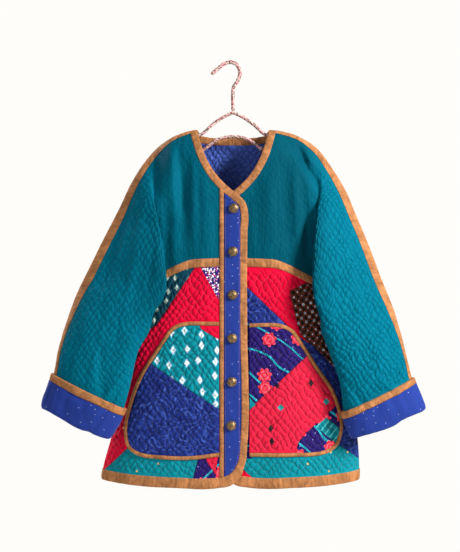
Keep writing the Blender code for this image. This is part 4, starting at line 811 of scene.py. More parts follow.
def settle(grid, join):
    """Eases the columns on both sides of the armhole, where the cloth has no seam."""
    rows = np.arange(grid.shape[1]) / DOWN
    strength = np.clip(np.minimum(rows, rows[::-1]) / SETTLE_ROWS, 0, 1)[None, :, None]
    start, stop = join - SETTLE_REACH * ACROSS, join + SETTLE_REACH * ACROSS + 1
    for _ in range(SETTLE_REACH * ACROSS**2):
        eased = 0.5 * grid[start:stop] + 0.25 * grid[start - 1:stop - 1] + 0.25 * grid[start + 1:stop + 1]
        grid[start:stop] += strength * (eased - grid[start:stop])
    return grid


def upper(side, face):
    """The yoke and sleeve of one side and face, as columns of rows."""
    yoke = torso(side, face)
    arm = sleeve(side, face, yoke[-1 - 2 * ACROSS])
    columns = np.concatenate([yoke, arm[1:]])
    cut = [rows_of(column, SHOULDER_BAND_HALF, YOKE_BAND_HALF, PANEL_ROWS + 1, DOWN) for column in columns]
    return settle(np.array(cut), len(yoke) - 1)


def lower(side, face):
    """The lower front or half of the lower back, as columns of rows."""
    heights = np.linspace(YOKE[-1][1], FRONT_HEM[-1][1], DENSE)
    outer = stacked(half_width(side, heights), heights)
    hem_out = outer[-1, 0]
    if face == FRONT:
        top = on_line(YOKE, finer(front_outs(UNDERARM_OUT), ACROSS))
        hem_outs = np.concatenate([[FRONT_HEM[0][0], 0.0095], front_outs(hem_out)[2:]])
        hem = on_line(FRONT_HEM, finer(hem_outs, ACROSS))
        inner = along(FRONT_LOWER_EDGE, DENSE)
    else:
        top = on_line(YOKE, finer(back_outs(UNDERARM_OUT), ACROSS))
        hem = on_line(BACK_HEM, finer(back_outs(hem_out), ACROSS))
        inner = np.linspace(top[0], hem[0], DENSE)
    hem[-1] = outer[-1]
    inner[0], inner[-1] = top[0], hem[0]
    flat = patch(top, hem, inner, outer)
    points = with_y(side, flat, body_y(side, face, flat[..., 0], flat[..., 1]))
    return np.array([rows_of(column, YOKE_BAND_HALF, 0, LOWER_ROWS + 1, DOWN_LOWER) for column in points])


def meet(grid, edge, line, reach):
    """Moves the first or last row onto a line, and the rows near it part of the way."""
    missing = line - grid[:, edge]
    for step in range(reach + 1):
        row = step if edge == 0 else -1 - step
        grid[:, row] += (1 - ease(step / reach)) * missing


def normals_of(grid, face, probe):
    """Outward directions at a grid's points, by which way its face looks at the probe point."""
    found = unit(np.cross(np.gradient(grid, axis=0), np.gradient(grid, axis=1)))
    return found if found[probe][1] * face > 0 else -found


def share_normals(panels):
    """Gives the points that pieces share at a seam one direction, so that their walls meet."""
    edges = []
    for points, ways in panels:
        edges += [(points[edge], ways[edge]) for edge in EDGES]
    sums = {}
    for line, ways in edges:
        for place, way in zip(np.round(line, 5), ways):
            sums[tuple(place)] = sums.get(tuple(place), 0) + way
    for line, ways in edges:
        for index, place in enumerate(np.round(line, 5)):
            ways[index] = sums[tuple(place)] / np.linalg.norm(sums[tuple(place)])


def drawn_edge(line, directions, beside, distance):
    """An edge moved into its piece, square to its own line."""
    across = unit(np.cross(directions, np.gradient(line, axis=0)))
    across = across if (across * (beside - line)).sum() > 0 else -across
    return across * distance


def open_seams(grid, directions, gap=SEAM_GAP):
    """Draws a grid's edges in by half the gap between pieces."""
    drawn = grid.copy()
    for edge, beside in zip(EDGES, (2, -3, (ALL, 2), (ALL, -3))):
        drawn[edge] += drawn_edge(grid[edge], directions[edge], grid[beside], gap / 2)
    from_underarm = np.linalg.norm(np.abs(grid) - UNDERARM, axis=2)
    for column, row in np.argwhere(from_underarm < SEAM_GAP):
        beside = grid[max(column - 2, 0):column + 3, max(row - 2, 0):row + 3].reshape(-1, 3).mean(axis=0)
        drawn[column, row] = grid[column, row] + unit(beside - grid[column, row]) * UNDERARM_DRAWN_IN
    return drawn


def room_for_cloth(grids, ways, downs):
    """The wall and the share of puff that each point has room for, by how near it other cloth lies."""
    points, faces = [], []
    for key, grid in grids.items():
        coarse = grid[::ACROSS, ::downs[key]]
        start = len(points)
        columns, rows = coarse.shape[:2]
        points += [Vector(place) for place in coarse.reshape(-1, 3)]
        for column in range(columns - 1):
            for row in range(rows - 1):
                corner = start + column * rows + row
                faces.append((corner, corner + rows, corner + rows + 1))
                faces.append((corner, corner + rows + 1, corner + 1))
    tree = BVHTree.FromPolygons(points, faces)
    walls, puffs = {}, {}
    for key, grid in grids.items():
        coarse, coarse_ways = grid[::ACROSS, ::downs[key]], ways[key][::ACROSS, ::downs[key]]
        from_underarm = np.linalg.norm(np.abs(coarse) - UNDERARM, axis=2)
        wall = WALL * np.clip(from_underarm / UNDERARM_THINNED, THINNEST, 1)
        puff = np.full(wall.shape, FULL_PUFF)
        for index in np.ndindex(*wall.shape):
            way, place = Vector(coarse_ways[index]), Vector(coarse[index])
            for field, turn, share in ((wall, -1, WALL_SHARE), (puff, 1, PUFF_SHARE)):
                distance = tree.ray_cast(place + turn * way * RAY_START, turn * way, RAY_REACH)[3]
                if distance is not None:
                    field[index] = min(field[index], share * (distance + RAY_START))
        walls[key] = spread_out(wall, ACROSS, downs[key])
        puffs[key] = spread_out(puff, ACROSS, downs[key]) / FULL_PUFF
    return walls, puffs


def spread_out(field, across, down):
    """A coarse field brought to the fine grid on straight lines."""
    for axis, cells in ((0, across), (1, down)):
        count = field.shape[axis]
        at = np.linspace(0, count - 1, (count - 1) * cells + 1)
        low = np.minimum(at.astype(int), count - 2)
        share = at - low
        shape = [1, 1]
        shape[axis] = len(at)
        share = share.reshape(shape)
        field = np.take(field, low, axis) * (1 - share) + np.take(field, low + 1, axis) * share
    return field


def upper_plan(grid, side, hole):
    """Where each point of a yoke and sleeve lies on the flat cloth, with the grain hanging down."""
    flat = stacked(side * grid[..., 0], grid[..., 2])
    steps = np.diff(grid, axis=1)
    run = np.linalg.norm(steps, axis=-1, keepdims=True)
    ways = unit(stacked(side * steps[..., 0], steps[..., 2]))
    middle = int(0.4 * grid.shape[1])
    straight = unit(flat[:, middle] - flat[:, 0])[:, None]
    ways = np.where((ways * straight).sum(axis=-1, keepdims=True) < 0, -ways, ways)
    turned = ease((np.arange(len(grid)) - hole) / (3 * ACROSS))[:, None, None]
    ways = unit((1 - turned) * ways + turned * straight)
    return np.concatenate([flat[:, :1], flat[:, :1] + np.cumsum(ways * run, axis=1)], axis=1)


def lower_plan(grid, side):
    """Where each point of a lower piece lies on the flat cloth."""
    steps = np.linalg.norm(np.diff(grid, axis=0), axis=-1)
    reach = np.concatenate([np.zeros((1, grid.shape[1])), np.cumsum(steps, axis=0)])
    return stacked(side * grid[:1, :, 0] + reach, grid[..., 2])


def quilt_place(plan, seed):
    """Places counted in quilting lines across and waves down, a little uneven as sewn by hand."""
    settings = bpy.context.scene.jacket
    u, v = plan[..., 0], plan[..., 1]
    across = u + uneven(u, v, QUILT_DRIFT_ACROSS, seed)
    down = v + uneven(u, v, QUILT_DRIFT_DOWN, seed)
    return stacked(across / settings.quilt_width, -down / settings.quilt_length)


def puff_at(places):
    """Height of the padding, from 0 where the lines of quilting meet to 1 in the middle of a cell."""
    return 0.5 - 0.5 * np.sin(math.pi * places[..., 0]) * np.sin(2 * math.pi * places[..., 1])


class Cloth:
    """The panels' fine grids with their directions, walls, room and places on the flat cloth."""

    made = None

    @classmethod
    def get(cls):
        if cls.made is None:
            cls.made = cls()
        return cls.made

    def __init__(self):
        self.hole = TORSO_CELLS * ACROSS
        arm = (SLEEVE_CELLS + CUFF_CELLS) * ACROSS + 1
        fronts, backs = [{side: upper(side, face) for side in SIDES} for face in (FRONT, BACK)]
        low_fronts, low_backs = [{side: lower(side, face) for side in SIDES} for face in (FRONT, BACK)]
        for side in SIDES:
            part = backs[side][-arm:]
            meet(part, 0, fronts[side][-arm:, 0], 2 * DOWN)
            meet(part, -1, fronts[side][-arm:, -1], 2 * DOWN)
            meet(low_fronts[side], 0, fronts[side][:len(low_fronts[side]), -1], 2 * DOWN_LOWER)
        back, low_back = [np.concatenate([half[RIGHT][::-1], half[LEFT][1:]]) for half in (backs, low_backs)]
        self.half, self.reach = len(backs[RIGHT]) - 1, len(low_backs[RIGHT]) - 1
        meet(low_back, 0, back[self.half - self.reach:self.half + self.reach + 1, -1], 2 * DOWN_LOWER)
        for side, edge in ((RIGHT, 0), (LEFT, -1)):
            low_back[edge] = low_fronts[side][-1]
        self.grids, self.ways, self.plans, self.downs = {}, {}, {}, {}
        plans = {side: upper_plan(backs[side], side, NECK_CELLS * ACROSS + self.hole) for side in SIDES}
        self.add("back", back, BACK, (self.half, 6 * DOWN), plans, DOWN)
        plans = {side: lower_plan(low_backs[side], side) for side in SIDES}
        self.add("lower_back", low_back, BACK, (self.reach, 6 * DOWN_LOWER), plans, DOWN_LOWER)
        for side, name in SIDES.items():
            probe = 4 * ACROSS, 8 * DOWN
            self.add("front_" + name, fronts[side], FRONT, probe, upper_plan(fronts[side], side, self.hole),
                     DOWN)
            probe = 4 * ACROSS, 8 * DOWN_LOWER
            self.add("lower_" + name, low_fronts[side], FRONT, probe, lower_plan(low_fronts[side], side),
                     DOWN_LOWER)
        share_normals([(self.grids[key], self.ways[key]) for key in self.grids])
        self.walls, self.puffs = room_for_cloth(self.grids, self.ways, self.downs)

    def add(self, key, grid, face, probe, plan, down):
        """Keeps a panel, its directions by the probe point and its plan, which for a back has two halves."""
        if face == BACK:
            plan = np.concatenate([plan[RIGHT][::-1] * (-1, 1), plan[LEFT][1:]])
        self.grids[key], self.ways[key] = grid, normals_of(grid, face, probe)
        self.plans[key], self.downs[key] = plan, down

    def cut(self, key, columns, rows):
        """The points of a part of a panel, and the directions that leave the cloth there."""
        return self.grids[key][columns, rows], self.ways[key][columns, rows]


def pocket_outline(side):
    """The pocket's outer edge and the edge of its cloth inside the piping, in out and z."""
    top = along(POCKET_TOP[side], POCKET_CELLS + 1)
    outer = along(POCKET_SIDE[side], POCKET_DENSE)
    foot = along(POCKET_FOOT[side], POCKET_CELLS + 1)
    inner = np.linspace(top[0], foot[0], POCKET_DENSE)
    top[-1], foot[-1] = outer[0], outer[-1]
    whole = patch(top, foot, inner, outer)
    pick = np.round(np.linspace(0, POCKET_DENSE - 1, POCKET_ROWS + 1)).astype(int)
    whole = whole[:, pick]
    edge = np.concatenate([whole[:, 0], whole[-1, 1:], whole[-2::-1, -1]])
    way = unit(np.gradient(edge, axis=0))
    across = stacked(way[:, 1], -way[:, 0])
    across = across if across[POCKET_CELLS // 2, 1] < 0 else -across
    drawn = edge + across * POCKET_PIPING_WIDTH
    drawn[0, 0] = edge[0, 0]
    drawn[-1, 0] = edge[-1, 0]
    return finer(edge, POCKET_ACROSS), finer(drawn, POCKET_ACROSS)


def pocket_cloth(side):
    """The pocket's cloth inside the piping, as a fine grid in out and z."""
    drawn = pocket_outline(side)[1]
    cells = POCKET_ACROSS
    top = drawn[:POCKET_CELLS * cells + 1]
    outer = drawn[POCKET_CELLS * cells:(POCKET_CELLS + POCKET_ROWS) * cells + 1]
    foot = drawn[(POCKET_CELLS + POCKET_ROWS) * cells:][::-1]
    places = np.linspace(0, len(outer) - 1, POCKET_ROWS * POCKET_DOWN + 1)
    outer = smooth(np.arange(len(outer)), outer, places)
    inner = np.linspace(top[0], foot[0], len(outer))
    return patch(top, foot, inner, outer)


def on_front(side, flat, lift=0.0):
    """Points on the front cloth at places in out and z, with the directions that leave it."""
    step = 0.0010
    out, z = flat[..., 0], flat[..., 1]
    here = with_y(side, flat, body_y(side, FRONT, out, z))
    beside = with_y(side, flat + [step, 0], body_y(side, FRONT, out + step, z))
    below = with_y(side, flat - [0, step], body_y(side, FRONT, out, z - step))
    directions = unit(np.cross(beside - here, below - here))
    directions = directions * -np.sign(directions[..., 1:2])
    return here + directions * np.asarray(lift)[..., None], directions


def clear_of_pocket(side, grid):
    """From 0 under a pocket to 1 a little way outside it."""
    edge = pocket_outline(side)[0][::5]
    out, z = side * grid[..., 0], grid[..., 2]
    least = np.full(out.shape, 1.0)
    for place in edge:
        least = np.minimum(least, np.hypot(out - place[0], z - place[1]))
    ahead = np.roll(edge, -1, axis=0)
    inside = np.zeros(out.shape, bool)
    for (out_a, z_a), (out_b, z_b) in zip(edge, ahead):
        if z_a == z_b:
            continue
        crossing = out_a + (z - z_a) / (z_b - z_a) * (out_b - out_a)
        inside ^= ((z_a > z) != (z_b > z)) & (out < crossing)
    return np.where(inside, 0, ease((least - POCKET_CLEAR[0]) / POCKET_CLEAR[1]))


def add_mesh(name, points, faces, finishes, slots=None, maps=None, padding=None, sharp=45):
    """A closed mesh with its faces outwards, its finishes, and its flat places as UV maps."""
    mesh = bpy.data.meshes.new(name)
    mesh.from_pydata(np.asarray(points, float).tolist(), [], [tuple(face) for face in faces])
    for finish in finishes:
        mesh.materials.append(finish)
    if slots is not None:
        mesh.polygons.foreach_set("material_index", np.asarray(slots, np.int32))
    shape = bmesh.new()
    shape.from_mesh(mesh)
    bmesh.ops.recalc_face_normals(shape, faces=shape.faces)
    if shape.calc_volume(signed=True) < 0:
        bmesh.ops.reverse_faces(shape, faces=shape.faces)
    shape.to_mesh(mesh)
    shape.free()
    corners = np.zeros(len(mesh.loops), np.int32)
    mesh.loops.foreach_get("vertex_index", corners)
    for label, places in (maps or {}).items():
        layer = mesh.uv_layers.new(name=label)
        layer.data.foreach_set("uv", np.asarray(places, np.float32)[corners].ravel())
    if padding is not None:
        field = mesh.attributes.new("padding", "FLOAT", "POINT")
        field.data.foreach_set("value", np.asarray(padding, np.float32).ravel())
    mesh.shade_smooth()
    mesh.set_sharp_from_angle(angle=math.radians(sharp))
    made = bpy.data.objects.new(name, mesh)
    bpy.context.scene.collection.objects.link(made)
    return made


def dress(piece, slot, *nodes):
    """Ties a finished piece to the jacket's body and hides the solids that it stands for. The material slot
    is not used.
    """
    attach(piece, "root")
    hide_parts(*nodes)


def cells_of(columns, rows, start=0):
    """The four-sided faces of a grid of points."""
    column, row = np.meshgrid(np.arange(columns - 1), np.arange(rows - 1), indexing="ij")
    corner = (start + column * rows + row).ravel()
    return np.stack([corner, corner + rows, corner + rows + 1, corner + 1], axis=1)


def quilted_shell(name, grid, directions, padding, wall, plan, places, finishes):
    """A cloth wall: a fine quilted outer face over a plain inner face with half as many points."""
    drawn = open_seams(grid, directions)
    rise = bpy.context.scene.jacket.quilt_rise
    outer = drawn + directions * (puff_at(places) * padding * rise)[..., None]
    step = INNER_STRIDE
    inner = (drawn - directions * wall[..., None])[::step, ::step]
    columns, rows = grid.shape[:2]
    inner_rows = inner.shape[1]
    total = columns * rows
    points = np.concatenate([outer.reshape(-1, 3), inner.reshape(-1, 3)])
    faces = list(map(tuple, cells_of(columns, rows)))
    outside = len(faces)
    faces += list(map(tuple, cells_of(inner.shape[0], inner_rows, total)))
    rims = []
    for row, inner_row in ((0, 0), (rows - 1, inner_rows - 1)):
        rims.append(([column * rows + row for column in range(columns)],
                     [total + column * inner_rows + inner_row for column in range(inner.shape[0])]))
    for column, inner_column in ((0, 0), (columns - 1, inner.shape[0] - 1)):
        rims.append(([column * rows + row for row in range(rows)],
                     [total + inner_column * inner_rows + row for row in range(inner_rows)]))
    for outer_line, inner_line in rims:
        for index in range(len(inner_line) - 1):
            a, b, c = outer_line[index * step:index * step + 3]
            faces += [(a, b, inner_line[index]), (b, inner_line[index + 1], inner_line[index]),
                      (b, c, inner_line[index + 1])]
    slots = np.ones(len(faces), np.int32)
    slots[:outside] = 0
    maps = {
        label: np.concatenate([field.reshape(-1, 2), field[::step, ::step].reshape(-1, 2)])
        for label, field in (("cloth", plan), ("quilting", places))
    }
    held = np.concatenate([padding.ravel(), 0 * padding[::step, ::step].ravel()])
    return add_mesh(name, points, faces, finishes, slots, maps, held)


def laid_cloth(name, grid, directions, low, high, finish, **plans):
    """A closed piece of cloth on a panel, between a lower and an upper height over the panel's points."""
    columns, rows = grid.shape[:2]
    total = columns * rows
    points = np.concatenate([
        (grid + directions * np.broadcast_to(height, (columns, rows))[..., None]).reshape(-1, 3)
        for height in (high, low)
    ])
    faces = [*map(tuple, cells_of(columns, rows)), *map(tuple, cells_of(columns, rows, total))]
    places = np.arange(total).reshape(columns, rows)
    for line in (places[:, 0], places[:, -1], places[0], places[-1]):
        faces += [(a, b, b + total, a + total) for a, b in zip(line, line[1:])]
    maps = {label: np.concatenate([plan.reshape(-1, 2)] * 2) for label, plan in plans.items()}
    return add_mesh(name, points, faces, [Finishes.get(finish)], maps=maps)


def swept(name, sections, plan, finish, closed=False, sharp=60):
    """A solid through like cross-sections, each a ring of points."""
    count, corners = sections.shape[:2]
    faces = []
    for index in range(count if closed else count - 1):
        after = (index + 1) % count
        for corner in range(corners):
            beside = (corner + 1) % corners
            faces.append((index * corners + corner, index * corners + beside,
                          after * corners + beside, after * corners + corner))
    if not closed:
        faces.append(tuple(range(corners)))
        faces.append(tuple((count - 1) * corners + corner for corner in range(corners)))
    maps = {"cloth": plan.reshape(-1, 2)}
    return add_mesh(name, sections.reshape(-1, 3), faces, [Finishes.get(finish)], maps=maps, sharp=sharp)


class Finish:
    """A material's node tree, with short ways to add and join its nodes."""

    def __init__(self, name, roughness, sheen=0.0, metallic=0.0):
        self.material = bpy.data.materials.new(name)
        self.material.use_nodes = True
        self.tree = self.material.node_tree
        self.shader = self.tree.nodes["Principled BSDF"]
        for label, value in (
            ("Roughness", roughness), ("Metallic", metallic), ("Sheen Weight", sheen),
            ("Sheen Roughness", SHEEN_SPREAD),
            ("Specular IOR Level", METAL_GLOSS if metallic else CLOTH_GLOSS),
        ):
            self.shader.inputs[label].default_value = value

    def nap(self, colour):
        """Colours the sheen, which stands for the fibres that catch the light."""
        self.shader.inputs["Sheen Tint"].default_value = (*[min(1, part * 2.2 + 0.002) for part in colour], 1)

    def node(self, kind, sources=None, **settings):
        made = self.tree.nodes.new(kind)
        for key, value in settings.items():
            setattr(made, key, value)
        for key, source in (sources or {}).items():
            self.feed(made.inputs[key], source)
        return made

    def feed(self, socket, source):
        if isinstance(source, bpy.types.NodeSocket):
            self.tree.links.new(source, socket)
        elif hasattr(source, "__len__") and len(source) == 3 and socket.type == "RGBA":
            socket.default_value = (*source, 1)
        else:
            socket.default_value = source

    def sum(self, operation, a, b=0.0, c=0.0):
        return self.node("ShaderNodeMath", {0: a, 1: b, 2: c}, operation=operation).outputs[0]

    def times(self, a, b):
        return self.sum("MULTIPLY", a, b)

    def scaled(self, value, factor, start):
        """A value times a factor, counted from a start."""
        return self.sum("MULTIPLY_ADD", value, factor, start)

    def rest(self, share):
        """What a share leaves of one."""
        return self.sum("SUBTRACT", 1.0, share)

    def wave(self, value, turn):
        return self.sum("SINE", self.times(value, turn))

    def within(self, value, low, high):
        """From 0 at the low value to 1 at the high one."""
        sources = {0: value, 1: low, 2: high, 3: 0.0, 4: 1.0}
        return self.node("ShaderNodeMapRange", sources, interpolation_type="SMOOTHSTEP").outputs[0]

    def under(self, value, low, high):
        """From 1 at the low value to 0 at the high one."""
        return self.rest(self.within(value, low, high))

    def mix(self, share, a, b, blend="MIX"):
        return self.node("ShaderNodeMix", {0: share, 6: a, 7: b}, data_type="RGBA",
                         blend_type=blend).outputs[2]

    def shade(self, colour, factor):
        """A colour made lighter or darker by a factor."""
        grey = self.node("ShaderNodeCombineColor", {0: factor, 1: factor, 2: factor}).outputs[0]
        return self.mix(1.0, colour, grey, "MULTIPLY")

    def noise(self, place, scale, detail=2.0, distortion=0.0, roughness=0.5):
        sources = {"Vector": place, "Scale": scale, "Detail": detail, "Distortion": distortion,
                   "Roughness": roughness}
        return self.node("ShaderNodeTexNoise", sources).outputs[0]

    def cells(self, place, scale, randomness=1.0):
        """The nearest of many points spread over the cloth."""
        sources = {"Vector": place, "Scale": scale, "Randomness": randomness}
        return self.node("ShaderNodeTexVoronoi", sources, voronoi_dimensions="2D").outputs

    def vector(self, operation, a, b):
        return self.node("ShaderNodeVectorMath", {0: a, 1: b}, operation=operation).outputs[0]

    def turned(self, place, angle):
        sources = {"Vector": place, "Angle": angle}
        return self.node("ShaderNodeVectorRotate", sources, rotation_type="Z_AXIS").outputs[0]

    def cloth_place(self, name="cloth"):
        return self.node("ShaderNodeUVMap", uv_map=name).outputs[0]

    def object_place(self):
        return self.node("ShaderNodeTexCoord").outputs["Object"]

    def parts(self, place):
        return list(self.node("ShaderNodeSeparateXYZ", {0: place}).outputs)

    def weave(self, place, pitch=0.0008):
        """Height of a plain weave."""
        u, v, _ = self.parts(place)
        turn = 2 * math.pi / pitch
        return self.times(self.wave(u, turn), self.wave(v, turn))

    def quilting(self):
        """Height of the padding between the stitched lines, and share of thread along them."""
        across, down, _ = self.parts(self.cloth_place("quilting"))
        swing = self.times(self.wave(down, 2 * math.pi), QUILT_SWING)
        even = self.sum("PINGPONG", self.sum("SUBTRACT", across, swing), 1.0)
        odd = self.rest(self.sum("PINGPONG", self.sum("ADD", across, swing), 1.0))
        near = self.sum("MINIMUM", even, odd)
        flat = self.rest(self.sum("MINIMUM", self.times(near, 1.35), 1.0))
        height = self.rest(self.sum("POWER", flat, 1.6))
        stitch = self.within(self.wave(down, 2 * math.pi * STITCHES_IN_WAVE), -0.75, -0.35)
        return height, self.times(self.under(near, 0.02, 0.08), stitch)

    def bump(self, height, distance):
        """Raises the surface in the light by a height from the nodes."""
        made = self.node("ShaderNodeBump", {"Height": height, "Distance": distance, "Strength": 1.0})
        earlier = self.shader.inputs["Normal"]
        if earlier.is_linked:
            self.tree.links.new(earlier.links[0].from_socket, made.inputs["Normal"])
        self.tree.links.new(made.outputs[0], earlier)

    def close(self, colour):
        self.feed(self.shader.inputs["Base Color"], colour)
        return self.material


def mottled(finish, colour, place, amount=0.12):
    """Slight unevenness in the dye, broad and fine."""
    broad = finish.noise(place, 22.0, 3.0)
    fine_grain = finish.noise(place, 900.0, 2.0)
    total = finish.sum("ADD", finish.times(broad, 0.7), finish.times(fine_grain, 0.3))
    return finish.shade(colour, finish.scaled(total, 2 * amount, 1 - amount))


def dots(finish, place, scale, radius, kept):
    """Small round dots scattered on the cloth: the share kept of one in each cell."""
    near = finish.cells(place, scale, 0.9)
    round_dot = finish.under(near["Distance"], radius * scale * 0.8, radius * scale)
    chosen = finish.sum("LESS_THAN", finish.parts(near["Color"])[0], kept)
    return finish.times(round_dot, chosen)


def lattice(finish, place, pitch, turn=0.0):
    """Places inside the cells of a turned square grid, from -0.5 to 0.5 each way."""
    u, v, _ = finish.parts(finish.turned(place, turn))
    return [finish.sum("SUBTRACT", finish.sum("FRACT", finish.times(value, 1 / pitch)), 0.5)
            for value in (u, v)]


def scattered(finish, place, pitch, randomness):
    """Places measured from the middle of the nearest of many scattered motifs, both ways."""
    middle = finish.cells(place, 1 / pitch, randomness)["Position"]
    return finish.parts(finish.vector("SUBTRACT", place, middle))[:2]


def diamonds(finish, place, pitch, size, tall=0.62, randomness=0.8):
    """Scattered diamonds: how far out of each a place is, and whether it is inside, sizes in metres."""
    u, v = scattered(finish, place, pitch, randomness)
    away = finish.sum("ADD", finish.sum("ABSOLUTE", u), finish.times(finish.sum("ABSOLUTE", v), tall))
    return away, finish.under(away, size - DIAMOND_BLUR, size + DIAMOND_BLUR)


GOLD = linear("d9ac5c")
PALE = linear("e9e6ef")
PALE_BLUE = linear("8fa0e8")
AQUA = linear("59c9cf")
DEEP_BLUE = linear("16246a")

# Cloths with sparse dots: ground, unevenness of its dye, cells a metre, radius, share kept and colour
DOTTED = {
    "teal_patch": ("teal_patch", 0.12, 21.0, 0.0022, 0.35, GOLD),
    "red": ("red", 0.08, 18.0, 0.0022, 0.25, GOLD),
    "royal": ("royal", 0.10, 62.0, 0.0008, 0.50, linear("b4b8de")),
}
# Cloths with pale rimmed diamonds set wide apart: ground, pitch, colour and rim
SPRIGS = {
    "sprig_teal": ("teal_patch", 0.029, linear("e6f0f2"), linear("6fb3dc")),
    "sprig_dark": ("teal_dark", 0.022, linear("c9d8cf"), linear("5f8f86")),
}


def print_coral(finish, place, settings):
    """Coral cloth with a few small dark diamonds and teal squares, scattered."""
    base = mottled(finish, settings.coral, place, 0.08)
    _, dark = diamonds(finish, place, 0.062, 0.0052)
    base = finish.mix(dark, base, linear("2b1c22"))
    shifted = finish.vector("ADD", place, (0.031, 0.018, 0.0))
    _, square = diamonds(finish, shifted, 0.088, 0.0068, 1.0)
    return finish.mix(square, base, linear("1f8f96"))


def print_batik(finish, place, settings):
    """Blue cloth with lighter curling strokes, as from a wax brush."""
    wander = finish.node("ShaderNodeTexNoise", {"Vector": place, "Scale": 26.0, "Detail": 1.0})
    bent = finish.vector("ADD", place, finish.vector("MULTIPLY", wander.outputs["Color"], (0.06, 0.06, 0.0)))
    strokes = finish.within(finish.wave(finish.cells(bent, 38.0)["Distance"], 17.0), 0.35, 0.85)
    broken = finish.within(finish.noise(bent, 120.0, 2.0), 0.42, 0.56)
    share = finish.times(finish.times(strokes, broken), 0.5)
    base = finish.mix(finish.within(finish.noise(place, 30.0, 2.0), 0.35, 0.65), DEEP_BLUE, settings.batik)
    return finish.mix(share, mottled(finish, base, place), linear("4564bd"))


def print_navy(finish, place, settings):
    """Navy cloth with coral rosettes between wavy turquoise ribbons, and pale specks."""
    base = mottled(finish, settings.navy, place)
    base = finish.mix(dots(finish, place, 70.0, 0.0010, 0.45), base, PALE_BLUE)
    drift = finish.noise(place, 9.0, 1.0)
    u, v, _ = finish.parts(place)
    level = finish.scaled(drift, 1.6, finish.times(finish.scaled(u, 0.5, v), 1 / 0.046))
    level = finish.sum("ABSOLUTE", finish.sum("SUBTRACT", finish.sum("FRACT", level), 0.5))
    ribbon = finish.under(level, 0.036, 0.048)
    beads = finish.within(finish.wave(finish.sum("SUBTRACT", u, v), 2 * math.pi / 0.006), -0.9, -0.4)
    base = finish.mix(finish.times(ribbon, beads), base, linear("19b3c0"))
    off_u, off_v = scattered(finish, place, 0.053, 0.7)
    reach = finish.sum("SQRT", finish.scaled(off_u, off_u, finish.times(off_v, off_v)))
    reach = finish.times(reach, 1 / 0.062)
    angle = finish.sum("ARCTAN2", off_v, off_u)
    petals = finish.scaled(finish.wave(angle, 7.0), 0.03, 0.21)
    inside = finish.under(finish.sum("DIVIDE", reach, petals), 0.96, 1.04)
    ring = finish.within(finish.wave(reach, 62.0), 0.2, 0.7)
    rosette = finish.mix(finish.times(ring, 0.6), linear("ea2b40"), linear("f0718c"))
    return finish.mix(inside, base, rosette)


def print_brown(finish, place, _):
    """Black-brown cloth with a rust lattice and ringed dots where its lines cross."""
    u, v = [finish.sum("ABSOLUTE", value) for value in lattice(finish, place, 0.0125, 0.62)]
    lines = finish.sum("MAXIMUM", u, v)
    base = finish.mix(finish.within(lines, 0.40, 0.46), linear("1c1214"), linear("7a3420"))
    inner_line = finish.times(finish.within(lines, 0.27, 0.30), finish.under(lines, 0.33, 0.36))
    base = finish.mix(finish.times(inner_line, 0.7), base, linear("96512f"))
    from_corner = {0: finish.sum("SUBTRACT", u, 0.5), 1: finish.sum("SUBTRACT", v, 0.5), 2: 0.0}
    corner = finish.node("ShaderNodeCombineXYZ", from_corner).outputs[0]
    reach = finish.node("ShaderNodeVectorMath", {0: corner}, operation="LENGTH").outputs[1]
    pick = finish.within(finish.noise(place, 40.0, 0.0), 0.45, 0.55)
    for low, high, first, second in ((0.19, 0.22, "d7dbe4", "6b2a4a"), (0.10, 0.13, "2a4fb4", "b8c8d8")):
        base = finish.mix(finish.under(reach, low, high), base,
                          finish.mix(pick, linear(first), linear(second)))
    return base


def print_confetti(finish, place, _):
    """Navy cloth thickly scattered with white, pink and purple chips."""
    near = finish.cells(place, 290.0)
    pick = finish.parts(near["Color"])[0]
    colour = finish.mix(finish.within(pick, 0.30, 0.34), linear("3b2a8a"), linear("c23a8e"))
    colour = finish.mix(finish.within(pick, 0.52, 0.56), colour, linear("f1e9f2"))
    return finish.mix(finish.under(near["Distance"], 0.40, 0.50), linear("241a5c"), colour)


def print_stripe_teal(finish, place, settings):
    """Turquoise with slanting paler stripes."""
    base = mottled(finish, settings.teal_patch, place)
    u = finish.parts(finish.turned(place, 0.7))[0]
    stripe = finish.within(finish.wave(u, 2 * math.pi / 0.011), 0.5, 0.8)
    return finish.mix(finish.times(stripe, 0.6), base, AQUA)


PRINTS = {
    "coral": print_coral, "batik": print_batik, "navy_print": print_navy, "brown_print": print_brown,
    "confetti": print_confetti, "stripe_teal": print_stripe_teal,
}


def printed(finish, place, settings, kind):
    """The colour of one of the cotton prints."""
    if kind in DOTTED:
        ground, amount, scale, radius, kept, colour = DOTTED[kind]
        base = mottled(finish, getattr(settings, ground), place, amount)
        return finish.mix(dots(finish, place, scale, radius, kept), base, colour)
    if kind in SPRIGS:
        ground, pitch, light, rim = SPRIGS[kind]
        base = mottled(finish, getattr(settings, ground), place)
        away, inside = diamonds(finish, place, pitch, 0.24 * pitch, 0.68, 0.45)
        edge = finish.within(away, 0.16 * pitch, 0.19 * pitch)
        core = finish.under(away, 0.04 * pitch, 0.07 * pitch)
        return finish.mix(inside, base, finish.mix(finish.sum("MAXIMUM", edge, core), light, rim))
    return PRINTS[kind](finish, place, settings)


def patch_share(finish, x, z, corners):
    """How far inside a straight-edged patch a place is: 1 inside, and the distance to its seam."""
    middle = np.mean(corners, axis=0)
    least = None
    for start, end in zip(corners, corners[1:] + corners[:1]):
        run = np.subtract(end, start)
        normal = np.array([-run[1], run[0]]) / np.hypot(*run)
        normal = normal if normal @ (middle - start) > 0 else -normal
        away = finish.scaled(x, float(normal[0]), float(-normal @ start))
        away = finish.scaled(z, float(normal[1]), away)
        least = away if least is None else finish.sum("MINIMUM", least, away)
    return finish.within(least, -SEAM_BLUR, SEAM_BLUR), least


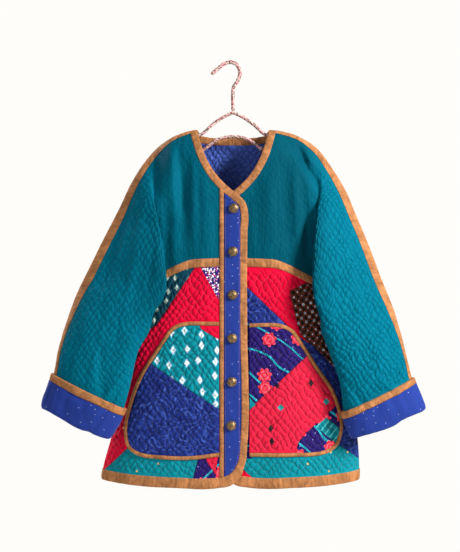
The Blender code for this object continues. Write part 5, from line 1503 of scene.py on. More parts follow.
def quilted_finish(name, depth, sheen, roughness):
    """The start of every quilted cloth: weave, padding and stitches, returned with its tree and a painted
    shade for the quilting grooves.
    """
    finish = Finish(name, roughness, sheen)
    place = finish.cloth_place()
    height, thread = finish.quilting()
    padding = finish.node("ShaderNodeAttribute", attribute_name="padding").outputs["Fac"]
    uneven = finish.scaled(finish.noise(place, 55.0, 2.0), 1.5, 0.30)
    low = finish.times(finish.times(finish.rest(height), padding), uneven)
    wrinkles = finish.times(finish.noise(finish.cloth_place("quilting"), 2.6, 2.0), padding)
    finish.bump(finish.scaled(wrinkles, 0.5, finish.times(low, -1.0)), depth)
    finish.bump(finish.noise(place, 260.0, 3.0), 0.00035)
    finish.bump(finish.weave(place), WEAVE_RISE)
    # Painted shade: a factor that darkens the colour where the padding sinks to the stitched lines
    darker = finish.scaled(finish.times(low, low), -0.12, 1.0)
    return finish, place, finish.times(thread, padding), darker


def patchwork(name, base, patches, settings):
    """Quilted cloth sewn from patches of several prints, with a seam at every edge."""
    finish, place, thread, darker = quilted_finish(name, 0.0017, 0.04, 0.7)
    x, _, z = finish.parts(finish.object_place())
    uneven = finish.scaled(finish.noise(finish.object_place(), 60.0, 1.0), 2 * SEAM_WANDER, -SEAM_WANDER)
    x, z = finish.sum("ADD", x, uneven), finish.sum("ADD", z, uneven)
    kinds = {base, *(kind for kind, _ in patches)}
    cloths = {kind: printed(finish, place, settings, kind) for kind in sorted(kinds)}
    colour = cloths[base]
    seams = None
    for kind, corners in patches:
        share, away = patch_share(finish, x, z, corners)
        colour = finish.mix(share, colour, cloths[kind])
        seam = finish.under(finish.sum("ABSOLUTE", away), 0.0002, 0.0016)
        if seams is not None:
            seam = finish.sum("MAXIMUM", finish.times(seams, finish.rest(share)), seam)
        seams = seam
    finish.bump(finish.times(seams, -1.0), 0.0010)
    # Painted shade along each patch seam, darkest in the seam's groove
    colour = finish.shade(colour, finish.scaled(seams, -0.35, 1.0))
    # Painted shade in the quilting grooves
    colour = finish.shade(colour, darker)
    return finish.close(finish.mix(finish.times(thread, 0.06), colour, PALE))


def teal_cotton(settings):
    """Deep teal cotton of the yoke and sleeves, with painted shade that darkens the yoke, most at the
    wearer's left.
    """
    finish, place, _, darker = quilted_finish("teal_cotton", 0.0015, 0.12, 0.62)
    finish.nap(settings.teal)
    finish.shader.inputs["Specular IOR Level"].default_value = TEAL_GLOSS
    streaks = finish.vector("MULTIPLY", place, (240.0, 26.0, 1.0))
    finish.bump(finish.noise(streaks, 1.0, 3.0), 0.0011)
    colour = mottled(finish, settings.teal, place, 0.14)
    colour = finish.shade(colour, finish.scaled(finish.noise(streaks, 1.6, 3.0), 0.5, 0.75))
    # Painted shade: the yoke's colour is darkened against the sleeves, more at the wearer's left, on front
    # and back alike
    x = finish.parts(finish.object_place())[0]
    on_yoke = finish.under(finish.sum("ABSOLUTE", x), 0.13, 0.21)
    on_right = finish.under(x, -0.16, 0.16)
    nap = finish.rest(finish.times(on_yoke, finish.scaled(on_right, -0.24, 0.50)))
    # Painted shade in the quilting grooves, then the painted shade on the yoke
    return finish.close(finish.shade(finish.shade(colour, darker), nap))


def lining_cotton(settings):
    finish = Finish("lining_cotton", 0.8, 0.1)
    place = finish.cloth_place()
    line = finish.rest(finish.quilting()[0])
    swirls = finish.within(finish.noise(place, 55.0, 3.0, 1.6), 0.45, 0.62)
    colour = finish.mix(finish.times(swirls, 0.45), settings.lining, linear("5a72c8"))
    colour = mottled(finish, colour, place, 0.22)
    finish.bump(finish.times(line, -1.0), 0.0012)
    finish.bump(finish.noise(place, 70.0, 2.0), 0.003)
    # Painted shade in the quilting lines, where the bump sinks
    return finish.close(finish.shade(colour, finish.scaled(line, -0.3, 1.0)))


def royal_cotton(settings):
    finish = Finish("royal_cotton", 0.68, 0.1)
    place = finish.cloth_place()
    finish.bump(finish.weave(place), WEAVE_RISE)
    finish.bump(finish.noise(place, 150.0, 3.0), 0.0006)
    return finish.close(printed(finish, place, settings, "royal"))


def tan_cloth(settings):
    """Napped tan cloth with a fine diagonal rib, painted darker in its crease troughs and paler on its crease
    crests as painted shade and highlight.
    """
    finish = Finish("tan_cloth", 0.6, 0.25)
    finish.nap(settings.tan)
    place = finish.cloth_place()
    u, v, _ = finish.parts(place)
    finish.bump(finish.wave(finish.sum("ADD", u, v), 2 * math.pi / RIB_PITCH), 0.00005)
    finish.bump(finish.noise(place, 420.0, 3.0), 0.00025)
    finish.bump(finish.noise(place, 75.0, 2.0), 0.0012)
    creases = finish.noise(finish.vector("MULTIPLY", place, (170.0, 45.0, 1.0)), 1.0, 2.0, 0.4)
    finish.bump(creases, 0.0022)
    nap = finish.within(finish.noise(place, 48.0, 4.0, 0.6), 0.30, 0.70)
    colour = finish.mix(nap, toned(settings.tan, 0.70), toned(settings.tan, 1.15))
    # Painted shade and highlight: the colour follows the crease bump, darker in the troughs and paler on the
    # crests
    colour = finish.shade(colour, finish.scaled(creases, 0.9, 0.55))
    return finish.close(mottled(finish, colour, place, 0.2))


def toned(colour, factor):
    return tuple(min(1.0, part * factor) for part in colour)


def tan_thread(settings):
    finish = Finish("tan_thread", 0.6, 0.1)
    twist = finish.noise(finish.object_place(), 1800.0, 1.0)
    return finish.close(finish.mix(twist, toned(settings.tan, 0.85), toned(settings.tan, 1.35)))


def antique_brass(settings):
    """Brass darker and brighter in scattered patches, smoother where brighter."""
    finish = Finish("antique_brass", 0.5, 0.0, 1.0)
    place = finish.object_place()
    worn = finish.within(finish.noise(place, 420.0, 4.0, 0.5), 0.35, 0.68)
    colour = finish.mix(worn, toned(settings.brass, 0.35), toned(settings.brass, 1.25))
    finish.feed(finish.shader.inputs["Roughness"], finish.scaled(worn, -0.15, 0.60))
    finish.bump(finish.noise(place, 700.0, 2.0), 0.00012)
    return finish.close(colour)


def calico(settings):
    """Cream cotton strip with small pink and dark red flecks."""
    finish = Finish("calico", 0.8, 0.15)
    place = finish.cloth_place()
    near = finish.cells(place, 230.0)
    pick = finish.parts(near["Color"])[0]
    fleck = finish.under(near["Distance"], 0.38, 0.55)
    colour = finish.mix(finish.within(pick, 0.42, 0.46), linear("8a2f3e"), linear("d8889a"))
    colour = finish.mix(finish.within(pick, 0.66, 0.70), colour, linear("5c3a3c"))
    colour = finish.mix(finish.times(fleck, 0.85), settings.calico, colour)
    # Painted shade at the step under the lapped edge of each turn of the strip
    edge = finish.sum("FRACT", finish.times(finish.parts(place)[0], 1 / WRAP_PITCH))
    colour = finish.shade(colour, finish.scaled(finish.within(edge, 0.80, 1.0), -0.4, 1.0))
    finish.bump(finish.weave(place, 0.0006), 0.00005)
    finish.bump(finish.noise(place, 300.0, 2.0), 0.0003)
    return finish.close(mottled(finish, colour, place, 0.1))


MAKERS = {
    "teal": teal_cotton, "lining": lining_cotton, "royal": royal_cotton, "tan": tan_cloth,
    "thread": tan_thread,
    "brass": antique_brass, "calico": calico,
}


class Finishes:
    """Every finish, made once."""

    made = {}

    @classmethod
    def get(cls, name):
        if name not in cls.made:
            settings = bpy.context.scene.jacket
            if name in PATCHES:
                cls.made[name] = patchwork("patchwork_" + name, *PATCHES[name], settings)
            else:
                cls.made[name] = MAKERS[name](settings)
        return cls.made[name]


class Sewing:
    """Lines of topstitching, gathered while the trim is built, a little off the cloth."""

    lines = {}

    @classmethod
    def add(cls, group, points, directions):
        cls.lines.setdefault(group, []).append(points + directions * THREAD_LIFT)


def faded(grid, cells, column_trims=(0, 0), row_trims=(0, 0)):
    """From 0 on the trimmed edges of a grid to 1 inside them, the trims counted in cells."""
    fades = []
    for count, size, (first, last) in zip(grid.shape, cells, (column_trims, row_trims)):
        at = np.arange(count) / size
        fades.append(ease((at - first) / FADE_CELLS) * ease((at[::-1] - last) / FADE_CELLS))
    return fades[0][:, None] * fades[1]


def clear_of_front_edge(side, grid):
    """From 0 on the flat strip behind the front edge to 1 beyond it."""
    start, run = PLAIN_EDGE[side]
    return ease((side * grid[..., 0] - start) / run)


def panel(name, key, padding, seed, finish, slot, node):
    """One of the jacket's large pieces as quilted cloth."""
    cloth = Cloth.get()
    plan = cloth.plans[key]
    piece = quilted_shell(name, cloth.grids[key], cloth.ways[key], padding * cloth.puffs[key],
                          cloth.walls[key], plan,
                          quilt_place(plan, seed), [Finishes.get(finish), Finishes.get("lining")])
    dress(piece, slot, node)


class JACKET_OT_panels(bpy.types.Operator):
    """Build the yoke, sleeves and lower pieces as quilted cloth"""

    bl_idname = "jacket.panels"
    bl_label = "Quilted panels"

    def execute(self, context):
        cloth = Cloth.get()
        for number, (side, name) in enumerate(SIDES.items()):
            grid = cloth.grids["front_" + name]
            at = np.arange(len(grid))[:, None]
            on_sleeve = ease((at - cloth.hole + ACROSS) / (3 * ACROSS))
            padding = faded(grid, (ACROSS, DOWN), (0, CUFF_CELLS), YOKE_TRIMS)
            padding = padding * np.where(at < cloth.hole, clear_of_front_edge(side, grid), 1)
            padding = padding * (YOKE_PADDING + (SLEEVE_PADDING[side] - YOKE_PADDING) * on_sleeve)
            panel("yoke_and_sleeve_" + name, "front_" + name, padding, 40 + number, "teal", "teal",
                  "upper_front_" + name)
            grid = cloth.grids["lower_" + name]
            padding = faded(grid, (ACROSS, DOWN_LOWER), (0, 0), LOWER_TRIMS)
            padding = padding * clear_of_front_edge(side, grid) * clear_of_pocket(side, grid)
            node = "lower_front_" + name
            panel("lower_front_quilted_" + name, "lower_" + name, padding, 50 + number, node, "patch_red",
                  node)
        padding = BACK_PADDING * faded(cloth.grids["back"], (ACROSS, DOWN), (CUFF_CELLS, CUFF_CELLS),
                                       YOKE_TRIMS)
        panel("upper_back_quilted", "back", padding, 64, "teal", "teal", "upper_back")
        padding = faded(cloth.grids["lower_back"], (ACROSS, DOWN_LOWER), (0, 0), LOWER_TRIMS)
        panel("lower_back_quilted", "lower_back", padding, 70, "lower_back", "patch_blue", "lower_back")
        return {"FINISHED"}


class JACKET_OT_lining(bpy.types.Operator):
    """Build the lining that shows inside the neck"""

    bl_idname = "jacket.lining"
    bl_label = "Back neck lining"

    def execute(self, context):
        cloth = Cloth.get()
        reach = (NECK_CELLS - 1) * ACROSS
        place = slice(cloth.half - reach, cloth.half + reach + 1), slice(0, (LINING_ROWS - 1) * DOWN + 1)
        grid, ways = cloth.cut("back", *place)
        plan = cloth.plans["back"][place]
        places = quilt_place(plan, 62)
        high = -WALL - LINING_GAP
        low = high - LINING_THICKNESS - LINING_PUFF * puff_at(places) * faded(grid, (ACROSS, DOWN))
        drawn = open_seams(grid, ways, LINING_DRAWN_IN)
        piece = laid_cloth("lining_back_quilted", drawn, ways, low, high, "lining", cloth=plan,
                           quilting=places)
        dress(piece, "lining", "lining_back")
        return {"FINISHED"}


def puckers(points, seed, height=PUCKER_RISE):
    """Small ripples where a strip is sewn down."""
    reach = points[..., 0] + points[..., 2] * 0.9
    side = points[..., 2] - points[..., 0] * 0.9
    return height * uneven(reach, side, PUCKERS, seed)


def band(name, grid, ways, node, seed, ripple=PUCKER_RISE):
    """A flat strip over a seam, with rolled edges, small puckers and stitching along both edges."""
    last = grid.shape[1] - 1
    across = np.linspace(-1, 1, last + 1)[None]
    crown = 1 - 0.75 * np.abs(across) ** 7
    high = BAND_LIFT + BAND_THICKNESS * crown + puckers(grid, seed, ripple) * (1 - across**8)
    width = np.linalg.norm(grid[:, -1] - grid[:, 0], axis=1).mean()
    plan = stacked(lengths(grid[:, grid.shape[1] // 2])[:, None], across * width / 2)
    dress(laid_cloth(name, grid, ways, BAND_LIFT, high, "tan", cloth=plan), "tan", node)
    for place in (BAND_STITCHES, -BAND_STITCHES):
        at = (place + 1) / 2 * last
        low = int(at)
        line, way, lift = [(1 - at + low) * field[:, low] + (at - low) * field[:, low + 1]
                           for field in (grid, ways, high)]
        way = unit(way)
        Sewing.add("bands", line + way * lift[:, None], way)


def joined(*cuts, axis):
    """Parts of the cloth set end to end or side by side, each with its points and directions."""
    return [np.concatenate(parts, axis=axis) for parts in zip(*cuts)]


class JACKET_OT_bands(bpy.types.Operator):
    """Build the tan bands over the shoulders, sleeves and yoke seam"""

    bl_idname = "jacket.bands"
    bl_label = "Bands over the seams"

    def execute(self, context):
        cloth = Cloth.get()
        yoke_rows, lower_rows = slice(-1 - DOWN, None), slice(1, DOWN_LOWER + 1)
        for number, (side, name) in enumerate(SIDES.items()):
            count = len(cloth.grids["front_" + name]) - CUFF_CELLS * ACROSS
            order = cloth.half + side * (NECK_CELLS * ACROSS + np.arange(count))
            points, ways = joined(cloth.cut("front_" + name, slice(count),
                                            slice(DOWN + FRONT_BAND_ROWS, None, -1)),
                                  cloth.cut("back", order, slice(1, DOWN + 1)), axis=1)
            points[0] += unit(points[1] - points[0]) * BAND_END_GAP
            band("shoulder_band_sewn_" + name, points, ways, "shoulder_band_" + name, 70 + number)
            columns = slice(2 * ACROSS, len(cloth.grids["lower_" + name]) - 2 * ACROSS)
            points, ways = joined(cloth.cut("front_" + name, columns, yoke_rows),
                                  cloth.cut("lower_" + name, columns, lower_rows), axis=1)
            band("yoke_band_sewn_" + name, points, ways, "yoke_band_front_" + name, 74 + number,
                 YOKE_PUCKER_RISE)
        reach = cloth.reach - ACROSS
        points, ways = joined(cloth.cut("back", slice(cloth.half - reach, cloth.half + reach + 1), yoke_rows),
                              cloth.cut("lower_back", slice(ACROSS, -ACROSS), lower_rows), axis=1)
        band("yoke_band_sewn_back", points, ways, "yoke_band_back", 78)
        return {"FINISHED"}


def laid_on(vector, direction):
    """A direction turned to lie along the cloth, at a place where the cloth's own direction leaves it."""
    return unit(vector - (vector @ direction) * direction)


def outwards(line, way, probe, towards):
    """Directions in which an edge leaves its piece along the cloth, set by where one of them points."""
    found = unit(np.cross(way, np.gradient(line, axis=0)))
    return found if found[probe] @ towards > 0 else -found


def turned_in(outward, way, side, cells, end=0):
    """Directions that turn towards the middle of the jacket at one end of an edge."""
    corner = laid_on(np.array([-side, 0.0, 0.0]), way[end])
    steps = np.arange(len(way))[::1 if end == 0 else -1]
    share = ease(steps / cells)[:, None]
    return unit(corner * (1 - share) + outward * share)


def binding(name, line, way, outward, width, node, seed):
    """A folded edge strip that lies end to end with a panel's edge, stitched near the panel."""
    line = line.copy()
    line[0] += unit(line[1] - line[0]) * SEAM_GAP / 2
    line[-1] += unit(line[-2] - line[-1]) * SEAM_GAP / 2
    line = line + outward * SEAM_GAP
    width = np.broadcast_to(width, (len(line),))
    shares, heights = table(BINDING_SECTION)
    reach = lengths(line)
    wave = uneven(reach, 0 * reach, BINDING_WAVE, seed)[:, None] * shares
    across = line[:, None] + outward[:, None] * (width[:, None] * shares)[..., None]
    rise = heights + puckers(across, seed) * (heights > BINDING_EDGE)
    sections = across + way[:, None] * rise[..., None] + outward[:, None] * wave[..., None]
    around = lengths(stacked(shares * 0.016, heights))
    dress(swept(name, sections, stacked(reach[:, None], around), "tan"), "tan", node)
    Sewing.add("bindings", sections[:, 3] * 0.55 + sections[:, 2] * 0.45, way)


class JACKET_OT_bindings(bpy.types.Operator):
    """Build the tan edges round the neck, down the fronts and along the hem"""

    bl_idname = "jacket.bindings"
    bl_label = "Edge bindings"

    def execute(self, context):
        cloth = Cloth.get()
        beyond = slice(1, None)
        for number, (side, name) in enumerate(SIDES.items()):
            upper_key, lower_key = "front_" + name, "lower_" + name
            line, way = joined(cloth.cut(upper_key, 0, ALL), cloth.cut(lower_key, 0, beyond),
                               cloth.cut(lower_key, beyond, -1), axis=0)
            outward = outwards(line, way, 4 * DOWN, (-side, 0, 0))
            outward = turned_in(outward, way, side, DOWN)
            outward[-1] = laid_on(DOWNWARDS, way[-1])
            corner = cloth.grids[upper_key].shape[1] + cloth.grids[lower_key].shape[1] - 1
            at_hem = ease((np.arange(len(line)) - corner + 10) / 20)
            width = EDGE_BINDING_WIDTH + (HEM_BINDING_WIDTH - EDGE_BINDING_WIDTH) * at_hem
            binding("binding_sewn_" + name, line, way, outward, width, "binding_front_" + name,
                    80 + 2 * number)
        reach = NECK_CELLS * ACROSS
        line, way = cloth.cut("back", slice(cloth.half - reach, cloth.half + reach + 1), 0)
        outward = outwards(line, way, reach, -DOWNWARDS)
        for side, end in ((RIGHT, 0), (LEFT, -1)):
            outward = turned_in(outward, way, side, ACROSS, end)
        binding("binding_sewn_neck", line, way, outward, EDGE_BINDING_WIDTH, "binding_neck_back", 90)
        line, way = cloth.cut("lower_back", ALL, -1)
        outward = outwards(line, way, cloth.reach, DOWNWARDS)
        for end in (0, -1):
            outward[end] = laid_on(DOWNWARDS, way[end])
        binding("binding_sewn_hem", line, way, outward, HEM_BINDING_WIDTH, "binding_hem_back", 94)
        return {"FINISHED"}


def finer_section(rows):
    """A section's table with more points where its steps are long."""
    points = [rows[0]]
    for start, end in zip(rows, rows[1:] + rows[:1]):
        count = max(1, math.ceil(abs(end[0] - start[0]) / CUFF_STEP))
        for step in range(1, count + 1):
            points.append(tuple(np.add(start, np.subtract(end, start) * step / count)))
    return points[:-1]


class CuffSleeve:
    """The end of a sleeve that carries a turned-back cuff, as rings of points down to its mouth."""

    def __init__(self, cloth, side, name):
        cells = CUFF_CELLS * ACROSS
        order = np.arange(-cells - 1, 0) if side == LEFT else np.arange(cells, -1, -1)
        self.rings, self.ways = joined(cloth.cut("front_" + name, slice(-cells - 1, None), ALL),
                                       cloth.cut("back", order, slice(-2, 0, -1)), axis=1)
        self.mouth, self.way = self.rings[-1], self.ways[-1]
        self.fall = unit(self.mouth - self.rings[-1 - ACROSS])
        self.deep = np.linalg.norm(self.mouth - self.rings[0], axis=1)[:, None]
        self.round = lengths(np.concatenate([self.mouth, self.mouth[:1]]))[:-1]

    def at(self, share, off):
        """The ring at a share of the cuff's depth up from its fold, and so far off the sleeve."""
        if share < 0:
            return self.mouth - self.fall * self.deep * share + self.way * off
        cells = len(self.rings) - 1
        index = np.interp(-share, np.linspace(-1, 0, cells + 1), np.arange(cells + 1))
        low = min(int(index), cells - 1)
        part = index - low
        place, way = [(1 - part) * field[low] + part * field[low + 1] for field in (self.rings, self.ways)]
        return place + unit(way) * off


class JACKET_OT_cuffs(bpy.types.Operator):
    """Build the turned-back cuffs with their bindings"""

    bl_idname = "jacket.cuffs"
    bl_label = "Cuffs"

    def execute(self, context):
        cloth = Cloth.get()
        for number, (side, name) in enumerate(SIDES.items()):
            sleeve_end = CuffSleeve(cloth, side, name)
            way, fall, around = sleeve_end.way[:, None], sleeve_end.fall[:, None], sleeve_end.round
            seed = 100 + 4 * number
            ups, offs = table(finer_section(CUFF_SECTION))
            sections = np.stack([sleeve_end.at(*row) for row in zip(ups, offs)], axis=1)
            swell = uneven(around[:, None], ups * CUFF_DEPTH, CUFF_SWELLS, seed + 1)
            swell = np.abs(swell) * (offs > CUFF_OUTSIDE)
            wave = uneven(around, 0 * around, CUFF_WAVES, seed + 1)[:, None]
            wave = wave * ease((CUFF_WAVE_TOP - ups) / CUFF_WAVE_FADE)
            sections = sections + way * swell[..., None] + fall * wave[..., None]
            plan = stacked(around[:, None], lengths(stacked(ups * CUFF_DEPTH, offs)))
            piece = swept("cuff_sewn_" + name, sections, plan, "royal", closed=True)
            dress(piece, "blue", "cuff_" + name)
            ups, offs = table(finer_section(CUFF_BINDING_SECTION))
            sections = np.stack([sleeve_end.at(*row) for row in zip(ups, offs)], axis=1)
            ripple = puckers(sections, seed) * (offs > CUFF_BINDING_OUTSIDE)
            sections = sections + ripple[..., None] * way
            plan = stacked(around[:, None], lengths(stacked(ups * CUFF_DEPTH, offs)))
            piece = swept("cuff_binding_sewn_" + name, sections, plan, "tan", closed=True)
            dress(piece, "tan", "cuff_binding_" + name)
            for place in CUFF_STITCHES:
                line, way = [np.concatenate([ring, ring[:1]])
                             for ring in (sleeve_end.at(*place), sleeve_end.way)]
                Sewing.add("cuffs", line, way)
        return {"FINISHED"}


class JACKET_OT_placket(bpy.types.Operator):
    """Build the blue strip and its piping down the right front"""

    bl_idname = "jacket.placket"
    bl_label = "Placket"

    def execute(self, context):
        heights, outs = table(STRIP_EDGE)
        rows = np.linspace(heights[0], heights[-1], PLACKET_ROWS)
        edge = np.interp(-rows, -heights, outs)
        shares = np.linspace(0, 1, STRIP_COLUMNS)[:, None]
        flat = stacked(edge * (1 - shares) + STRIP_OUT * shares, rows)
        points, ways = on_front(RIGHT, flat)
        across = np.abs(shares * 2 - 1)
        high = BAND_LIFT + STRIP_THICKNESS * (1 - 0.6 * across**9)
        high = high + 1.2 * puckers(points, 120) * (1 - across**6)
        piece = laid_cloth("placket_strip_sewn", points, ways, BAND_LIFT, high, "royal", cloth=flat)
        dress(piece, "blue", "placket_strip")
        for column in (1, STRIP_COLUMNS - 2):
            line, way, lift = [field[column, 6:-6] for field in (points, ways, high)]
            Sewing.add("placket", line + way * lift[:, None], way)
        rows = np.linspace(PIPING_TOP, PIPING_FOOT, PLACKET_ROWS)[:, None]
        shares, lifts = table(PIPING_SECTION)
        out = PIPING_OUT[0] + (PIPING_OUT[1] - PIPING_OUT[0]) * shares[None]
        outs, heights = table(FRONT_EDGE[4::-1])
        slant = np.interp(out, outs, heights) - np.interp(PIPING_OUT[0], outs, heights)
        down = rows + slant * (1 - ease(np.arange(PLACKET_ROWS)[:, None] / SLANT_ROWS))
        flat = stacked(out, down)
        lift = np.broadcast_to(BAND_LIFT + lifts * PIPING_THICKNESS, flat.shape[:2])
        points, ways = on_front(RIGHT, flat, lift)
        sections = points + ways * (puckers(points, 124) * (lifts > PIPING_CROWN))[..., None]
        dress(swept("placket_piping_sewn", sections, stacked(-rows, out), "tan"), "tan", "placket_piping")
        return {"FINISHED"}


class JACKET_OT_pockets(bpy.types.Operator):
    """Build the two quilted patch pockets with their piping"""

    bl_idname = "jacket.pockets"
    bl_label = "Pockets"

    def execute(self, context):
        for number, (side, name) in enumerate(SIDES.items()):
            flat = pocket_cloth(side)
            points, ways = on_front(side, flat, POCKET_LIFT + WALL)
            fade = faded(flat, (POCKET_ACROSS, POCKET_DOWN))
            piece = quilted_shell("pocket_quilted_" + name, points, ways, fade, np.full(fade.shape, WALL),
                                  flat,
                                  quilt_place(flat, 130 + 5 * number),
                                  [Finishes.get("pocket_" + name), Finishes.get("lining")])
            dress(piece, "patch_blue" if side == RIGHT else "patch_red", "pocket_" + name)
            edge, drawn = pocket_outline(side)
            line_out, way = on_front(side, edge)
            line_in = on_front(side, drawn)[0]
            shares, lifts = table(PIPING_SECTION)
            across = line_in[:, None] * (1 - shares)[:, None] + line_out[:, None] * shares[:, None]
            rise = POCKET_LIFT + lifts * (WALL + PIPING_PROUD)
            ripple = puckers(across, 140 + number) * (lifts > PIPING_CROWN)
            sections = across + way[:, None] * (rise + ripple)[..., None]
            plan = stacked(lengths(line_out)[:, None], shares * POCKET_PIPING_WIDTH)
            dress(swept("pocket_piping_sewn_" + name, sections, plan, "tan"), "tan", "pocket_piping_" + name)
            Sewing.add("pockets", sections[:, 2], way)
        return {"FINISHED"}


class JACKET_OT_buttons(bpy.types.Operator):
    """Build the domed brass buttons"""

    bl_idname = "jacket.buttons"
    bl_label = "Buttons"

    def execute(self, context):
        radii, heights = table(BUTTON_PROFILE)
        turns = np.linspace(0, 2 * math.pi, BUTTON_STEPS, endpoint=False)
        for number in range(BUTTON_COUNT):
            node = f"button_{number + 1}"
            low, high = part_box(node)
            x, z, seat = (low.x + high.x) / 2, (low.z + high.z) / 2, high.y
            rings = stacked(x + radii[:, None] * np.cos(turns), seat - heights[:, None],
                            z + radii[:, None] * np.sin(turns))
            total = rings.shape[0] * BUTTON_STEPS
            points = np.concatenate([rings.reshape(-1, 3), [(x, seat - BUTTON_TOP, z), (x, seat, z)]])
            faces = []
            for index in range(BUTTON_STEPS):
                after = (index + 1) % BUTTON_STEPS
                for ring in range(0, total - BUTTON_STEPS, BUTTON_STEPS):
                    beyond = ring + BUTTON_STEPS
                    faces.append((ring + index, beyond + index, beyond + after, ring + after))
                last = total - BUTTON_STEPS
                faces += [(total, index, after), (total + 1, last + after, last + index)]
            piece = add_mesh(f"button_domed_{number + 1}", points, faces, [Finishes.get("brass")], sharp=60)
            dress(piece, "brass", node)
        return {"FINISHED"}


def arm_z(out):
    """Height of the hanger's arm where it carries the shoulder from inside."""
    step = 0.001
    heights = []
    for side in SIDES:
        slope = (shoulder_z(side, out + step) - shoulder_z(side, out - step)) / (2 * step)
        drop = (ARM_CLEAR + ROD_SOLID) * math.sqrt(1 + slope**2)
        drop += NECK_DROP * (1 - float(ease((out - NECK_POINT) / NECK_EASE)))
        heights.append(float(shoulder_z(side, out) - drop))
    return min(heights)


def wrapped_rod(name, path, radius, node):
    """A wire wound with a strip of cloth: each turn overlaps the last with a soft step."""
    steps = lengths(np.array(path))
    line = along(path, int(steps[-1] / WRAP_STEP))
    reach = lengths(line)
    way = unit(np.gradient(line, axis=0))
    points = stacked(line[:, 0], ARM_Y, line[:, 1])
    across = stacked(-way[:, 1], 0.0, way[:, 0])[:, None]
    turns = np.linspace(0, 2 * math.pi, ROD_STEPS, endpoint=False)
    wound = (reach[:, None] / WRAP_PITCH + turns / (2 * math.pi)) % 1
    step = np.where(wound < WRAP_OVERLAP, wound / WRAP_OVERLAP, (1 - wound) / (1 - WRAP_OVERLAP))
    size = radius * (0.93 + 0.10 * ease(step))
    size = size + 0.00012 * soft_noise(reach[:, None], turns * 0.003, 0.004, 0.004, 7)
    ends = np.minimum(reach, reach[::-1])[:, None]
    size = size * np.sqrt(np.clip(1 - (1 - ends / radius).clip(0, 1) ** 2, 0.02, 1))
    ring = across * np.cos(turns)[:, None] + np.array([0.0, 1.0, 0.0]) * np.sin(turns)[:, None]
    sections = points[:, None] + size[..., None] * ring
    plan = stacked(reach[:, None] + turns / (2 * math.pi) * WRAP_PITCH, turns * radius)
    dress(swept(name, sections, plan, "calico", sharp=80), "calico", node)


class JACKET_OT_hanger(bpy.types.Operator):
    """Build the wire hanger wound with cloth, and the knob on its bar"""

    bl_idname = "jacket.hanger"
    bl_label = "Hanger"

    def execute(self, context):
        outs = np.linspace(ARM_BEND_OUT, ARM_END, ARM_POINTS)
        half = [(0.0, ARM_APEX_Z), *ARM_RISE] + [(out, arm_z(out)) for out in outs]
        bar_end = ARM_END - BAR_INSIDE_ARM
        bar = [*BAR_PATH, (bar_end, arm_z(bar_end) - BAR_BELOW_ARM)]
        arms, bars = [[(-out, z) for out, z in path[:0:-1]] + path for path in (half, bar)]
        foot = (0.0, ARM_APEX_Z + ROD_SOLID + HOOK_FOOT_GAP)
        wrapped_rod("hanger_arms_wrapped", arms, ROD_RADIUS, "hanger_arms")
        wrapped_rod("hanger_hook_wrapped", (*HOOK_PATH, foot), HOOK_RADIUS, "hanger_hook")
        wrapped_rod("hanger_bar_wrapped", bars, ROD_RADIUS, "hanger_bar")
        turns = np.linspace(0, 2 * math.pi, ROD_STEPS, endpoint=False)
        rise = np.linspace(0.03, math.pi - 0.03, 12)[:, None]
        x, y, z = KNOB_PLACE
        wide = KNOB_RADIUS * np.sin(rise)
        rings = stacked(x + wide * np.cos(turns), y - KNOB_HALF * np.cos(rise), z + wide * np.sin(turns))
        knob = swept("hanger_knob", rings, stacked(rise * 0.004, turns * 0.004), "calico", sharp=45)
        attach(knob, "root")
        return {"FINISHED"}


def stitch_tree(thread):
    """Geometry Nodes that set a small stitch at each step along the sewing lines."""
    tree = bpy.data.node_groups.new("topstitching", "GeometryNodeTree")
    tree.interface.new_socket("Geometry", in_out="INPUT", socket_type="NodeSocketGeometry")
    sizes = {}
    for label, value in (("Pitch", 0.0034), ("Length", 0.0026), ("Width", 0.00045)):
        socket = tree.interface.new_socket(label, in_out="INPUT", socket_type="NodeSocketFloat")
        socket.default_value = value
        sizes[label] = socket.identifier
    tree.interface.new_socket("Geometry", in_out="OUTPUT", socket_type="NodeSocketGeometry")

    def node(kind, settings=None, **values):
        made = tree.nodes.new(kind)
        for key, value in (settings or {}).items():
            setattr(made, key, value)
        for key, value in values.items():
            made.inputs[key].default_value = value
        return made

    entry = node("NodeGroupInput")
    leave = node("NodeGroupOutput")
    curve = node("GeometryNodeMeshToCurve")
    resample = node("GeometryNodeResampleCurve", {"mode": "LENGTH"})
    ball = node("GeometryNodeMeshUVSphere", Segments=6, Rings=4, Radius=0.5)
    shape = node("ShaderNodeCombineXYZ")
    stretch = node("GeometryNodeTransform")
    tangent = node("GeometryNodeInputTangent")
    turn = node("FunctionNodeAlignRotationToVector", {"axis": "X"})
    place = node("GeometryNodeInstanceOnPoints")
    real = node("GeometryNodeRealizeInstances")
    finish = node("GeometryNodeSetMaterial", Material=thread)
    for source, output, target, entrance in (
        (entry, "Geometry", curve, 0), (curve, 0, resample, "Curve"), (entry, "Pitch", resample, "Length"),
        (entry, "Length", shape, 0), (entry, "Width", shape, 1), (entry, "Width", shape, 2),
        (ball, "Mesh", stretch, "Geometry"), (shape, 0, stretch, "Scale"), (tangent, 0, turn, "Vector"),
        (resample, 0, place, "Points"), (stretch, 0, place, "Instance"), (turn, 0, place, "Rotation"),
        (place, 0, real, 0), (real, 0, finish, "Geometry"), (finish, 0, leave, 0),
    ):
        tree.links.new(source.outputs[output], target.inputs[entrance])
    return tree, sizes


